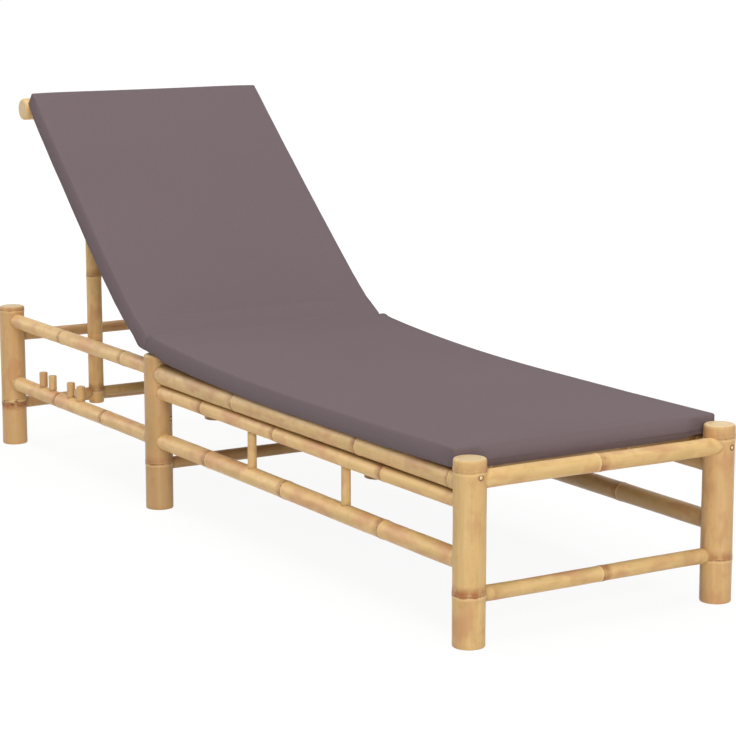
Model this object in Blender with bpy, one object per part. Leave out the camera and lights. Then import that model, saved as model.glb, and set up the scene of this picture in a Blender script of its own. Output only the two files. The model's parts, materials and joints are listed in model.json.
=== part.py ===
"""Sun lounger jointed from round poles, with a lifting back, a prop and a folding cushion.

Metres. X runs across the width, -Y is the foot end, +Y the head end, +Z up.
The floor is z = 0 and the origin is the centre of the footprint.
"""
import math

import bmesh
import bpy
from mathutils import Matrix, Vector


# Driving dimensions: the frame

leg_radius = 0.029
leg_height = 0.330
leg_offset_x = 0.271
foot_leg_y = -0.971
mid_leg_y = 0.204
head_leg_y = 0.971
leg_top_rim = 0.0035
leg_foot_rim = 0.0015

seat_rail_radius = 0.0185
seat_rail_z = 0.285
under_rail_radius = 0.01525
foot_lower_rail_radius = 0.018
foot_lower_rail_z = 0.147
head_upper_rail_radius = 0.0165
head_upper_rail_z = 0.2965
head_lower_rail_radius = 0.017
head_lower_rail_z = 0.1475

spindle_radius = 0.009
foot_spindle_y = -0.564
mid_spindle_y = -0.206

foot_upper_cross_radius = 0.01625
foot_upper_cross_z = 0.293
foot_upper_cross_setout = 0.011
foot_lower_cross_radius = 0.01425
foot_lower_cross_z = 0.0885
mid_upper_cross_radius = 0.0125
mid_upper_cross_z = 0.2375
mid_lower_cross_radius = 0.013
mid_lower_cross_z = 0.0935
head_upper_cross_radius = 0.013
head_upper_cross_z = 0.2585
head_lower_cross_radius = 0.0135
head_lower_cross_z = 0.096

slat_radius = 0.010
seat_slat_first_y = -0.9
seat_slat_pitch = 0.19
seat_slat_count = 6

peg_radius = 0.0095
peg_top_z = 0.198
peg_rim = 0.0015
notch_centre_y = 0.618
notch_half_pitch = 0.02625
free_notch_centre_y = 0.770
free_notch_half_pitch = 0.0255

# Driving dimensions: the back and the prop

hinge_z = 0.273
back_angle_deg = 40.5
stile_radius = 0.017
stile_offset_x = 0.178
top_bar_radius = 0.0245
top_bar_reach = 0.8235
top_bar_half_length = 0.29
top_bar_rim = 0.0035
back_lower_rail_radius = 0.017
back_slat_first = 0.13
back_slat_pitch = 0.13
back_slat_count = 5

pin_radius = 0.005
pin_rim = 0.0008
hinge_pin_in_leg = 0.022
hinge_pin_in_rail = 0.022
prop_pin_in_stile = 0.024
prop_pin_in_post = 0.024

post_radius = 0.017
post_offset_x = 0.2205
post_lower_end_z = 0.152
post_rim = 0.002
foot_bar_radius = 0.0115
foot_bar_half_length = 0.272
foot_bar_rim = 0.002

# Driving dimensions: the cushion

cushion_half_width = 0.285
cushion_thickness = 0.035
cushion_crown = 0.003
cushion_side_draw = 0.0015
cushion_corner = 0.007
cushion_foot_y = -0.941
cushion_foot_rise = 0.0026
cushion_foot_rise_length = 0.25
cushion_lift = 0.0301
cushion_lift_start_y = -0.45
cushion_lift_power = 2.3
cushion_bend_start_y = 0.215
cushion_bend_end_y = 0.256
cushion_short_of_bar = 0.0155
fold_plane_deg = 79.0
fold_gap_deg = 14.5

# Clearances

joint_gap = 0.0003
pin_clearance = 0.00008
hinge_end_gap = 0.0005
leg_sweep_gap = 0.0005
pin_end_gap = 0.0006

pole_segments = 24
leg_segments = 32
pin_segments = 24
seat_steps = 22
bend_steps = 8
corner_step = 6

# Derived places

back_angle = math.radians(back_angle_deg)
under_rail_z = seat_rail_z - seat_rail_radius - joint_gap - under_rail_radius
slat_z = seat_rail_z + seat_rail_radius - slat_radius
foot_bar_z = head_lower_rail_z + head_lower_rail_radius + joint_gap + foot_bar_radius
prop_pivot_reach = (notch_centre_y - mid_leg_y) / math.cos(back_angle)
prop_pivot_z = hinge_z + prop_pivot_reach * math.sin(back_angle)
top_bar_lift = stile_radius - top_bar_radius
back_slat_lift = stile_radius - slat_radius
back_lower_rail_half = leg_offset_x - leg_radius - hinge_end_gap
cushion_back_lift = stile_radius + joint_gap + cushion_thickness
cushion_seat_top = seat_rail_z + seat_rail_radius + joint_gap + cushion_thickness
cushion_head_reach = top_bar_reach - cushion_short_of_bar
hole_radius = pin_radius + pin_clearance

AXIS_X = Vector((1.0, 0.0, 0.0))
AXIS_Y = Vector((0.0, 1.0, 0.0))
AXIS_Z = Vector((0.0, 0.0, 1.0))


def clear_scene():
    """Remove every object that is already in the scene."""
    for item in list(bpy.data.objects):
        bpy.data.objects.remove(item, do_unlink=True)


def make_material(name, colour, roughness, metallic=0.0):
    """Return a plain material for one sub-part."""
    material = bpy.data.materials.new(name)
    material.use_nodes = True
    shader = material.node_tree.nodes["Principled BSDF"]
    shader.inputs["Base Color"].default_value = (*colour, 1.0)
    shader.inputs["Roughness"].default_value = roughness
    shader.inputs["Metallic"].default_value = metallic
    return material


def add_object(name, mesh, finish, parent=None):
    """Link a mesh as one named piece with its own material."""
    colour, roughness, metallic = finish
    mesh.materials.append(make_material(name, colour, roughness, metallic))
    mesh.shade_smooth()
    mesh.set_sharp_from_angle(angle=math.radians(35.0))
    item = bpy.data.objects.new(name, mesh)
    bpy.context.scene.collection.objects.link(item)
    item.parent = parent
    return item


def mesh_from_rings(name, rings, frame, start_cap, end_cap):
    """Skin rings of (across, along, distance) points; frame maps them to the piece's space."""
    body = bmesh.new()
    count = len(rings[0])
    rows = []
    for ring in rings:
        rows.append([body.verts.new(frame @ Vector(point)) for point in ring])
    for lower, upper in zip(rows, rows[1:]):
        for k in range(count):
            following = (k + 1) % count
            body.faces.new((lower[k], lower[following], upper[following], upper[k]))
    close_end(body, rows[0], start_cap)
    close_end(body, rows[-1], end_cap)
    bmesh.ops.recalc_face_normals(body, faces=body.faces)
    mesh = bpy.data.meshes.new(name)
    body.to_mesh(mesh)
    body.free()
    return mesh


def close_end(body, ring, style):
    """Close an end flat, or in strips that follow a saddle cut."""
    count = len(ring)
    if style == "flat":
        body.faces.new(ring)
        return
    half = count // 2
    body.faces.new((ring[0], ring[1], ring[count - 1]))
    for k in range(1, half - 1):
        body.faces.new((ring[k], ring[k + 1], ring[count - k - 1], ring[count - k]))
    body.faces.new((ring[half - 1], ring[half], ring[half + 1]))


def circle(radius, distance, segments):
    """Return one ring of points at a distance along the pole."""
    points = []
    for k in range(segments):
        turn = 2.0 * math.pi * k / segments
        points.append((radius * math.cos(turn), radius * math.sin(turn), distance))
    return points


def end_rings(radius, cut, rim, segments):
    """Return the rings of one end, from the tip inward, as distances from the end point."""
    if cut is None:
        if rim == 0.0:
            return [circle(radius, 0.0, segments)]
        shoulder = rim * (1.0 - math.sqrt(0.5))
        return [
            circle(radius - rim, 0.0, segments),
            circle(radius - shoulder, shoulder, segments),
            circle(radius, rim, segments),
        ]
    crossed_radius, offset = cut
    reach = crossed_radius + joint_gap
    ring = []
    for across, along, _ in circle(radius, 0.0, segments):
        ring.append((across, along, math.sqrt(reach ** 2 - (across - offset) ** 2)))
    return [ring]


def pole(name, start, end, across, radius, finish, parent=None, start_cut=None, end_cut=None,
         start_rim=0.0, end_rim=0.0, segments=pole_segments):
    """Make a round pole. A cut is (radius of the crossed pole, its offset along across)."""
    start = Vector(start)
    end = Vector(end)
    length = (end - start).length
    axis = (end - start).normalized()
    side = axis.cross(across)
    frame = Matrix.Translation(start) @ Matrix((across, side, axis)).transposed().to_4x4()
    rings = end_rings(radius, start_cut, start_rim, segments)
    far = end_rings(radius, end_cut, end_rim, segments)
    for ring in reversed(far):
        rings.append([(u, w, length - t) for u, w, t in ring])
    start_cap = "flat" if start_cut is None else "saddle"
    end_cap = "flat" if end_cut is None else "saddle"
    mesh = mesh_from_rings(name, rings, frame, start_cap, end_cap)
    return add_object(name, mesh, finish, parent)


def turned(name, start, axis, across, stations, finish, parent=None, segments=pole_segments):
    """Make a turned body from (distance, radius) stations that begin and end on its axis."""
    side = axis.cross(across)
    frame = Matrix.Translation(Vector(start)) @ Matrix((across, side, axis)).transposed().to_4x4()
    body = bmesh.new()
    rows = []
    for distance, radius in stations:
        if radius == 0.0:
            rows.append([body.verts.new(frame @ Vector((0.0, 0.0, distance)))])
        else:
            ring = circle(radius, distance, segments)
            rows.append([body.verts.new(frame @ Vector(point)) for point in ring])
    for lower, upper in zip(rows, rows[1:]):
        for k in range(segments):
            following = (k + 1) % segments
            if len(lower) == 1:
                body.faces.new((lower[0], upper[following], upper[k]))
            elif len(upper) == 1:
                body.faces.new((lower[k], lower[following], upper[0]))
            else:
                body.faces.new((lower[k], lower[following], upper[following], upper[k]))
    bmesh.ops.recalc_face_normals(body, faces=body.faces)
    mesh = bpy.data.meshes.new(name)
    body.to_mesh(mesh)
    body.free()
    return add_object(name, mesh, finish, parent)


def drill(item, start, end, radius):
    """Cut a round hole from start to end, both in the piece's own space."""
    start = Vector(start)
    end = Vector(end)
    axis = (end - start).normalized()
    side = axis.cross(AXIS_Z)
    frame = Matrix.Translation(start) @ Matrix((AXIS_Z, side, axis)).transposed().to_4x4()
    length = (end - start).length
    rings = [circle(radius, 0.0, pin_segments), circle(radius, length, pin_segments)]
    mesh = mesh_from_rings("cutter", rings, frame, "flat", "flat")
    cutter = bpy.data.objects.new("cutter", mesh)
    cutter.hide_render = True
    cutter.display_type = "WIRE"
    bpy.context.scene.collection.objects.link(cutter)
    cutter.parent = item.parent
    cut = item.modifiers.new("hole", "BOOLEAN")
    cut.operation = "DIFFERENCE"
    cut.solver = "EXACT"
    cut.object = cutter
    bpy.context.view_layer.update()
    evaluated = item.evaluated_get(bpy.context.evaluated_depsgraph_get())
    drilled = bpy.data.meshes.new_from_object(evaluated)
    item.modifiers.clear()
    item.data = drilled
    drilled.set_sharp_from_angle(angle=math.radians(35.0))
    bpy.data.objects.remove(cutter, do_unlink=True)


# Finishes: colour, roughness, metallic

pole_light = ((0.68, 0.46, 0.20), 0.45, 0.0)
pole_pale = ((0.62, 0.42, 0.18), 0.45, 0.0)
pole_brown = ((0.42, 0.25, 0.10), 0.5, 0.0)
dowel_wood = ((0.60, 0.42, 0.22), 0.55, 0.0)
cover_fabric = ((0.22, 0.165, 0.172), 0.9, 0.0)


def build_legs():
    """Six upright legs; the middle pair is bored for the hinge pins."""
    for place, y in (("foot", foot_leg_y), ("mid", mid_leg_y), ("head", head_leg_y)):
        for side, sign in (("left", -1.0), ("right", 1.0)):
            x = sign * leg_offset_x
            leg = pole(f"leg_{place}_{side}", (x, y, 0.0), (x, y, leg_height), AXIS_X, leg_radius,
                       pole_light, start_rim=leg_foot_rim, end_rim=leg_top_rim,
                       segments=leg_segments)
            if place == "mid":
                inner = leg_offset_x - leg_radius
                mouth = sign * (inner - 0.01)
                bottom = sign * (inner + hinge_pin_in_leg + pin_end_gap)
                drill(leg, (mouth, y, hinge_z), (bottom, y, hinge_z), hole_radius)


def build_side_rails():
    """Rails that run along the sides and butt on the legs."""
    leg_cut = (leg_radius, 0.0)
    rails = (
        ("seat_rail", foot_leg_y, mid_leg_y, seat_rail_z, seat_rail_radius),
        ("under_rail", foot_leg_y, mid_leg_y, under_rail_z, under_rail_radius),
        ("foot_lower_rail", foot_leg_y, mid_leg_y, foot_lower_rail_z, foot_lower_rail_radius),
        ("head_upper_rail", mid_leg_y, head_leg_y, head_upper_rail_z, head_upper_rail_radius),
        ("head_lower_rail", mid_leg_y, head_leg_y, head_lower_rail_z, head_lower_rail_radius),
    )
    for name, near, far, z, radius in rails:
        for side, sign in (("left", -1.0), ("right", 1.0)):
            x = sign * leg_offset_x
            pole(f"{name}_{side}", (x, near, z), (x, far, z), AXIS_X, radius, pole_light,
                 start_cut=leg_cut, end_cut=leg_cut)


def build_cross_rails():
    """Rails that run across between each pair of legs."""
    rails = (
        ("foot_upper_cross", foot_leg_y, foot_upper_cross_z, foot_upper_cross_radius,
         foot_upper_cross_setout),
        ("foot_lower_cross", foot_leg_y, foot_lower_cross_z, foot_lower_cross_radius, 0.0),
        ("mid_upper_cross", mid_leg_y, mid_upper_cross_z, mid_upper_cross_radius, 0.0),
        ("mid_lower_cross", mid_leg_y, mid_lower_cross_z, mid_lower_cross_radius, 0.0),
        ("head_upper_cross", head_leg_y, head_upper_cross_z, head_upper_cross_radius, 0.0),
        ("head_lower_cross", head_leg_y, head_lower_cross_z, head_lower_cross_radius, 0.0),
    )
    for name, leg_y, z, radius, setout in rails:
        y = leg_y - setout
        cut = (leg_radius, setout)
        pole(name, (-leg_offset_x, y, z), (leg_offset_x, y, z), AXIS_Y, radius, pole_pale,
             start_cut=cut, end_cut=cut)


def build_spindles_and_pegs():
    """Short uprights: spindles between two rails, pegs that make the prop's notches."""
    pegs = (
        free_notch_centre_y + free_notch_half_pitch,
        free_notch_centre_y - free_notch_half_pitch,
        notch_centre_y + notch_half_pitch,
        notch_centre_y - notch_half_pitch,
    )
    for side, sign in (("left", -1.0), ("right", 1.0)):
        x = sign * leg_offset_x
        for place, y in (("foot", foot_spindle_y), ("mid", mid_spindle_y)):
            pole(f"spindle_{place}_{side}", (x, y, foot_lower_rail_z), (x, y, under_rail_z),
                 AXIS_X, spindle_radius, pole_light, start_cut=(foot_lower_rail_radius, 0.0),
                 end_cut=(under_rail_radius, 0.0))
        for number, y in enumerate(pegs, start=1):
            pole(f"peg_{number}_{side}", (x, y, head_lower_rail_z), (x, y, peg_top_z), AXIS_X,
                 peg_radius, pole_light, start_cut=(head_lower_rail_radius, 0.0),
                 end_rim=peg_rim)


def build_seat_slats():
    """Round slats that carry the seat part of the cushion between the seat rails."""
    cut = (seat_rail_radius, seat_rail_z - slat_z)
    for number in range(seat_slat_count):
        y = seat_slat_first_y + number * seat_slat_pitch
        pole(f"seat_slat_{number + 1}", (-leg_offset_x, y, slat_z), (leg_offset_x, y, slat_z),
             AXIS_Z, slat_radius, pole_pale, start_cut=cut, end_cut=cut)


def add_pivot(name, location, turn, parent=None):
    """Return an empty that carries the pieces turning about a joint."""
    pivot = bpy.data.objects.new(name, None)
    bpy.context.scene.collection.objects.link(pivot)
    pivot.parent = parent
    pivot.location = location
    pivot.rotation_euler = (turn, 0.0, 0.0)
    return pivot


def build_back(pivot):
    """The back, drawn flat: Y runs up the back from its hinge, Z points to the cushion."""
    reach = back_lower_rail_half
    bore_end = reach - hinge_pin_in_rail - pin_end_gap
    stations = (
        (reach - bore_end, 0.0),
        (reach - bore_end, hole_radius),
        (0.0, hole_radius),
        (0.0, back_lower_rail_radius),
        (2.0 * reach, back_lower_rail_radius),
        (2.0 * reach, hole_radius),
        (reach + bore_end, hole_radius),
        (reach + bore_end, 0.0),
    )
    turned("back_lower_rail", (-reach, 0.0, 0.0), AXIS_X, AXIS_Z, stations, pole_pale, pivot)
    bar = (top_bar_reach, top_bar_lift)
    pole("back_top_bar", (-top_bar_half_length, *bar), (top_bar_half_length, *bar), AXIS_Z,
         top_bar_radius, pole_light, pivot, start_rim=top_bar_rim, end_rim=top_bar_rim,
         segments=leg_segments)
    for side, sign in (("left", -1.0), ("right", 1.0)):
        x = sign * stile_offset_x
        stile = pole(f"back_stile_{side}", (x, 0.0, 0.0), (x, top_bar_reach, 0.0), AXIS_Z,
                     stile_radius, pole_brown, pivot,
                     start_cut=(back_lower_rail_radius, 0.0),
                     end_cut=(top_bar_radius, top_bar_lift))
        outer = stile_offset_x + stile_radius
        mouth = sign * (outer + 0.01)
        bottom = sign * (outer - prop_pin_in_stile - pin_end_gap)
        drill(stile, (mouth, prop_pivot_reach, 0.0), (bottom, prop_pivot_reach, 0.0), hole_radius)
    cut = (stile_radius, -back_slat_lift)
    for number in range(back_slat_count):
        y = back_slat_first + number * back_slat_pitch
        pole(f"back_slat_{number + 1}", (-stile_offset_x, y, back_slat_lift),
             (stile_offset_x, y, back_slat_lift), AXIS_Z, slat_radius, pole_pale, pivot,
             start_cut=cut, end_cut=cut)


def pin(name, inner_x, outer_x, y, z, sign, parent=None):
    """Make a dowel pin across X with lightly broken edges."""
    start = (min(sign * inner_x, sign * outer_x), y, z)
    length = outer_x - inner_x
    stations = (
        (0.0, 0.0),
        (0.0, pin_radius - pin_rim),
        (pin_rim, pin_radius),
        (length - pin_rim, pin_radius),
        (length, pin_radius - pin_rim),
        (length, 0.0),
    )
    turned(name, start, AXIS_X, AXIS_Z, stations, dowel_wood, parent, pin_segments)


def build_pins(back_pivot):
    """Hinge pins sit in the middle legs, prop pins in the stiles."""
    leg_inner = leg_offset_x - leg_radius
    stile_outer = stile_offset_x + stile_radius
    post_inner = post_offset_x - post_radius
    for side, sign in (("left", -1.0), ("right", 1.0)):
        pin(f"hinge_pin_{side}", back_lower_rail_half - hinge_pin_in_rail,
            leg_inner + hinge_pin_in_leg, mid_leg_y, hinge_z, sign)
        pin(f"prop_pin_{side}", stile_outer - prop_pin_in_stile, post_inner + prop_pin_in_post,
            prop_pivot_reach, 0.0, sign, back_pivot)


def build_prop(pivot):
    """The prop hangs from its pivot, which is the origin here; -Z runs down the posts."""
    drop = prop_pivot_z - foot_bar_z
    post_length = prop_pivot_z - post_lower_end_z
    dome = post_radius - joint_gap
    stations = [(0.0, 0.0), (0.0, post_radius - post_rim), (post_rim, post_radius)]
    stations.append((post_length - 0.5 * post_radius, post_radius))
    for step in range(4):
        turn = math.radians(22.5 * step)
        stations.append((post_length + dome * math.sin(turn), dome * math.cos(turn)))
    stations.append((post_length + dome, 0.0))
    post_cut = (post_radius, 0.0)
    for side, sign in (("left", -1.0), ("right", 1.0)):
        x = sign * post_offset_x
        post = turned(f"prop_post_{side}", (x, 0.0, -post_length), AXIS_Z, AXIS_X, stations,
                      pole_brown, pivot)
        inner = post_offset_x - post_radius
        bottom = sign * (inner + prop_pin_in_post + pin_end_gap)
        drill(post, (sign * (inner - 0.01), 0.0, 0.0), (bottom, 0.0, 0.0), hole_radius)
        pole(f"prop_foot_end_{side}", (x, 0.0, -drop), (sign * foot_bar_half_length, 0.0, -drop),
             AXIS_Y, foot_bar_radius, pole_brown, pivot, start_cut=post_cut,
             end_rim=foot_bar_rim)
    pole("prop_foot_bar", (-post_offset_x, 0.0, -drop), (post_offset_x, 0.0, -drop), AXIS_Y,
         foot_bar_radius, pole_brown, pivot, start_cut=post_cut, end_cut=post_cut)


def back_line_z(y):
    """Height of the cushion's upper face on the straight part of the back."""
    return hinge_z + math.tan(back_angle) * (y - mid_leg_y) + cushion_back_lift / math.cos(back_angle)


def seat_line_z(y):
    """Height of the cushion's upper face on the seat, with its rise over the middle legs."""
    z = cushion_seat_top
    if y < cushion_foot_y + cushion_foot_rise_length:
        share = (cushion_foot_y + cushion_foot_rise_length - y) / cushion_foot_rise_length
        z += cushion_foot_rise * share
    if y > cushion_lift_start_y:
        share = (y - cushion_lift_start_y) / (cushion_bend_start_y - cushion_lift_start_y)
        z += cushion_lift * share ** cushion_lift_power
    return z


def cushion_face():
    """Return the upper face as (y, z) points from the foot end to the head end."""
    points = []
    for k in range(seat_steps + 1):
        y = cushion_foot_y + (cushion_bend_start_y - cushion_foot_y) * k / seat_steps
        points.append((y, seat_line_z(y)))
    start = points[-1]
    slope = (points[-1][1] - points[-2][1]) / (points[-1][0] - points[-2][0])
    end = (cushion_bend_end_y, back_line_z(cushion_bend_end_y))
    back_slope = math.tan(back_angle)
    corner_y = (end[1] - start[1] + slope * start[0] - back_slope * end[0]) / (slope - back_slope)
    corner = (corner_y, start[1] + slope * (corner_y - start[0]))
    for k in range(1, bend_steps + 1):
        t = k / bend_steps
        y = (1 - t) ** 2 * start[0] + 2 * t * (1 - t) * corner[0] + t ** 2 * end[0]
        z = (1 - t) ** 2 * start[1] + 2 * t * (1 - t) * corner[1] + t ** 2 * end[1]
        points.append((y, z))
    head_y = mid_leg_y + cushion_head_reach * math.cos(back_angle)
    head_y -= cushion_back_lift * math.sin(back_angle)
    back_steps = 10
    for k in range(1, back_steps + 1):
        y = end[0] + (head_y - end[0]) * k / back_steps
        points.append((y, back_line_z(y)))
    return points


def lower_face(points):
    """Return the under face: the upper face set back by the thickness, clear of the legs."""
    result = []
    for k, (y, z) in enumerate(points):
        before = points[max(k - 1, 0)]
        after = points[min(k + 1, len(points) - 1)]
        run = math.hypot(after[0] - before[0], after[1] - before[1])
        normal = (-(after[1] - before[1]) / run, (after[0] - before[0]) / run)
        if k == 0:
            normal = (0.0, 1.0)
        low_y = y - cushion_thickness * normal[0]
        low_z = z - cushion_thickness * normal[1]
        if abs(low_y - mid_leg_y) < leg_radius + 0.02:
            low_z = max(low_z, leg_height + leg_sweep_gap)
        result.append((low_y, low_z))
    return square_corner(result)


def square_corner(under):
    """Bring the under face of the fold out to the corner where its two flats would meet."""
    first = seat_steps
    last = seat_steps + bend_steps
    seat_slope = (under[first][1] - under[first - 1][1]) / (under[first][0] - under[first - 1][0])
    back_slope = math.tan(back_angle)
    start = under[first]
    end = under[last]
    corner_y = (end[1] - start[1] + seat_slope * start[0] - back_slope * end[0]) / (seat_slope - back_slope)
    corner = (corner_y, start[1] + seat_slope * (corner_y - start[0]))
    result = list(under)
    for k in range(1, bend_steps):
        if k <= corner_step:
            near, far, share = start, corner, k / corner_step
        else:
            near, far, share = corner, end, (k - corner_step) / (bend_steps - corner_step)
        result[first + k] = (near[0] + (far[0] - near[0]) * share, near[1] + (far[1] - near[1]) * share)
    return result


def ray_hit(points, turn):
    """Return the share and place where a ray from the hinge crosses a face."""
    along = (math.cos(turn), math.sin(turn))
    for k, (first, second) in enumerate(zip(points, points[1:])):
        side_a = (first[0] - mid_leg_y) * along[1] - (first[1] - hinge_z) * along[0]
        side_b = (second[0] - mid_leg_y) * along[1] - (second[1] - hinge_z) * along[0]
        if side_a < 0.0 <= side_b:
            t = side_a / (side_a - side_b)
            place = (first[0] + t * (second[0] - first[0]), first[1] + t * (second[1] - first[1]))
            return k, place
    raise ValueError("the fold plane misses the cushion")


def cushion_section():
    """Return the cushion's cross-section as (x, height) points with height 0 to 1 and over."""
    half = cushion_half_width - cushion_side_draw
    corner = cushion_corner
    thick = cushion_thickness
    low = (
        (0.0, 0.0),
        (0.5 * half, 0.0),
        (half - corner, 0.0),
        (half - 0.3 * corner, 0.3 * corner),
        (half, corner),
    )
    middle = ((half + cushion_side_draw, 0.5 * thick),)
    high = (
        (half, thick - corner),
        (half - 0.3 * corner, thick - 0.3 * corner),
        (half - corner, thick),
        (0.75 * half, thick + 0.6 * cushion_crown),
        (0.4 * half, thick + 0.95 * cushion_crown),
        (0.0, thick + cushion_crown),
    )
    right = low + middle + high
    left = tuple((-x, height) for x, height in reversed(right[1:-1]))
    return [(x, height / thick) for x, height in right + left]


def cushion_piece(name, tops, lows, rounded_first, rounded_last, parent, world):
    """Skin one part of the cushion between matching points of its two faces."""
    section = cushion_section()
    rows = []
    count = len(tops)
    for k, (top, low) in enumerate(zip(tops, lows)):
        shrink = 0.0
        if rounded_first and k == 0:
            shrink = cushion_corner
        if rounded_first and k == 1:
            shrink = 0.3 * cushion_corner
        if rounded_last and k == count - 1:
            shrink = cushion_corner
        if rounded_last and k == count - 2:
            shrink = 0.3 * cushion_corner
        middle_y = 0.5 * (top[0] + low[0])
        middle_z = 0.5 * (top[1] + low[1])
        factor = 1.0 - 2.0 * shrink / cushion_thickness
        wide = 1.0 - shrink / cushion_half_width
        row = []
        for x, height in section:
            lift = (height - 0.5) * factor
            y = middle_y + (top[0] - low[0]) * lift
            z = middle_z + (top[1] - low[1]) * lift
            row.append(world @ Vector((x * wide, y, z)))
        rows.append(row)
    body = bmesh.new()
    skins = [[body.verts.new(point) for point in row] for row in rows]
    points = len(section)
    for lower, upper in zip(skins, skins[1:]):
        for k in range(points):
            following = (k + 1) % points
            body.faces.new((lower[k], lower[following], upper[following], upper[k]))
    body.faces.new(skins[0])
    body.faces.new(skins[-1])
    bmesh.ops.recalc_face_normals(body, faces=body.faces)
    mesh = bpy.data.meshes.new(name)
    body.to_mesh(mesh)
    body.free()
    add_object(name, mesh, cover_fabric, parent)


def add_end_rows(points, at_start):
    """Add the close rows that round an end of the cushion."""
    first, second = (points[0], points[1]) if at_start else (points[-1], points[-2])
    run = math.hypot(second[0] - first[0], second[1] - first[1])
    rows = [first]
    for depth in (0.3 * cushion_corner, cushion_corner):
        t = depth / run
        rows.append((first[0] + t * (second[0] - first[0]), first[1] + t * (second[1] - first[1])))
    if at_start:
        return rows + points[1:]
    return points[:-1] + rows[::-1]


def build_cushion(back_pivot):
    """Seat part and back part of the cushion, parted at a wedge about the hinge."""
    upper = cushion_face()
    under = lower_face(upper)
    seat_turn = math.radians(fold_plane_deg + 0.5 * fold_gap_deg)
    back_turn = math.radians(fold_plane_deg - 0.5 * fold_gap_deg)
    top_index, seat_top = ray_hit(upper, seat_turn)
    _, seat_low = ray_hit(under, seat_turn)
    seat_tops = upper[:top_index] + [seat_top]
    seat_lows = under[:top_index] + [seat_low]
    seat_tops = add_end_rows(seat_tops, True)
    seat_lows = add_end_rows(seat_lows, True)
    cushion_piece("seat_cushion", seat_tops, seat_lows, True, False, None, Matrix.Identity(4))

    top_index, back_top = ray_hit(upper, back_turn)
    _, back_low = ray_hit(under, back_turn)
    sweep = math.hypot(leg_radius, leg_height - hinge_z) + leg_sweep_gap
    reach = max(sweep, math.hypot(back_low[0] - mid_leg_y, back_low[1] - hinge_z))
    back_low = (mid_leg_y + reach * math.cos(back_turn), hinge_z + reach * math.sin(back_turn))
    back_tops = [back_top] + upper[top_index + 2:]
    back_lows = [back_low] + under[top_index + 2:]
    back_tops = add_end_rows(back_tops, False)
    back_lows = add_end_rows(back_lows, False)
    world = back_pivot.matrix_world.inverted()
    cushion_piece("back_cushion", back_tops, back_lows, False, True, back_pivot, world)


def build_all():
    """Build every piece of the lounger."""
    clear_scene()
    build_legs()
    build_side_rails()
    build_cross_rails()
    build_spindles_and_pegs()
    build_seat_slats()
    back_pivot = add_pivot("back_pivot", (0.0, mid_leg_y, hinge_z), back_angle)
    prop_pivot = add_pivot("prop_pivot", (0.0, prop_pivot_reach, 0.0), -back_angle, back_pivot)
    bpy.context.view_layer.update()
    build_back(back_pivot)
    build_prop(prop_pivot)
    build_pins(back_pivot)
    build_cushion(back_pivot)
    bpy.context.view_layer.update()


build_all()
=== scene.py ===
"""Sun lounger of varnished bamboo poles with a soft folding cushion, dressed over its CAD frame.

Laid out as a Blender add-on and run as a script. Metres, X across, -Y foot end, +Z up.
"""
import json
import math

import bmesh
import bpy
from bpy.props import FloatProperty, FloatVectorProperty, IntProperty, PointerProperty, StringProperty
from mathutils import Matrix, Vector


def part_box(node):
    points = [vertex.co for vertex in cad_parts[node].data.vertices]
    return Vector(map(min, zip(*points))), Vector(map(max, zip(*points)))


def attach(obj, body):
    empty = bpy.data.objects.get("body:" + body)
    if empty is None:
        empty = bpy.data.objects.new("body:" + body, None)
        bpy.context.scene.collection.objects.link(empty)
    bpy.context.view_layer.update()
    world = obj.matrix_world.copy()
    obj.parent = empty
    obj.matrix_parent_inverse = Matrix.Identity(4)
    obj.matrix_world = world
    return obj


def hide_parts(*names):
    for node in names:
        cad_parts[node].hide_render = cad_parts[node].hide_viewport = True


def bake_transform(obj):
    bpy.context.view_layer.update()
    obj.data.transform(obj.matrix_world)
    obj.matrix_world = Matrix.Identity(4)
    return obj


bl_info = {
    "name": "Bamboo Sun Lounger",
    "version": (1, 0, 0),
    "blender": (4, 5, 0),
    "location": "3D View > Sidebar > Lounger",
    "description": "Dresses a jointed sun lounger with bamboo poles, screws and a padded cushion",
    "category": "Object",
}

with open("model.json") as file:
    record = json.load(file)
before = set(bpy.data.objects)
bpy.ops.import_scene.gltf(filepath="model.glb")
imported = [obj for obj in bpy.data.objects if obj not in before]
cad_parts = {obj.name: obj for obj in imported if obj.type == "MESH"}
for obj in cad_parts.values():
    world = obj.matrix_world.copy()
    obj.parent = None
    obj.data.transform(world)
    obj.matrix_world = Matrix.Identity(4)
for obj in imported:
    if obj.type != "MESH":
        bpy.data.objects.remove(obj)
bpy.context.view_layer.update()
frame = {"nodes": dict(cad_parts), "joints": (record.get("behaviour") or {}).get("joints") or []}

joints = {joint["name"]: joint for joint in frame["joints"]}
hinge = Vector(joints["back_hinge"]["pos_m"])
prop_pivot = Vector(joints["prop_hinge"]["pos_m"])
back_angle = math.atan2(prop_pivot.z - hinge.z, prop_pivot.y - hinge.y)
back_frame = Matrix.Translation(hinge) @ Matrix.Rotation(back_angle, 4, "X")
level_frame = Matrix.Identity(4)

AXES = {"x": Vector((1, 0, 0)), "y": Vector((0, 1, 0)), "z": Vector((0, 0, 1))}
SIDES = (("left", -1), ("right", 1))
WHITE = (1.0, 1.0, 1.0, 1.0)
# Up along the back from the hinge, and out of its face
UP_BACK = Vector((0.0, math.cos(back_angle), math.sin(back_angle)))
OFF_BACK = Vector((0.0, -math.sin(back_angle), math.cos(back_angle)))


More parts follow.
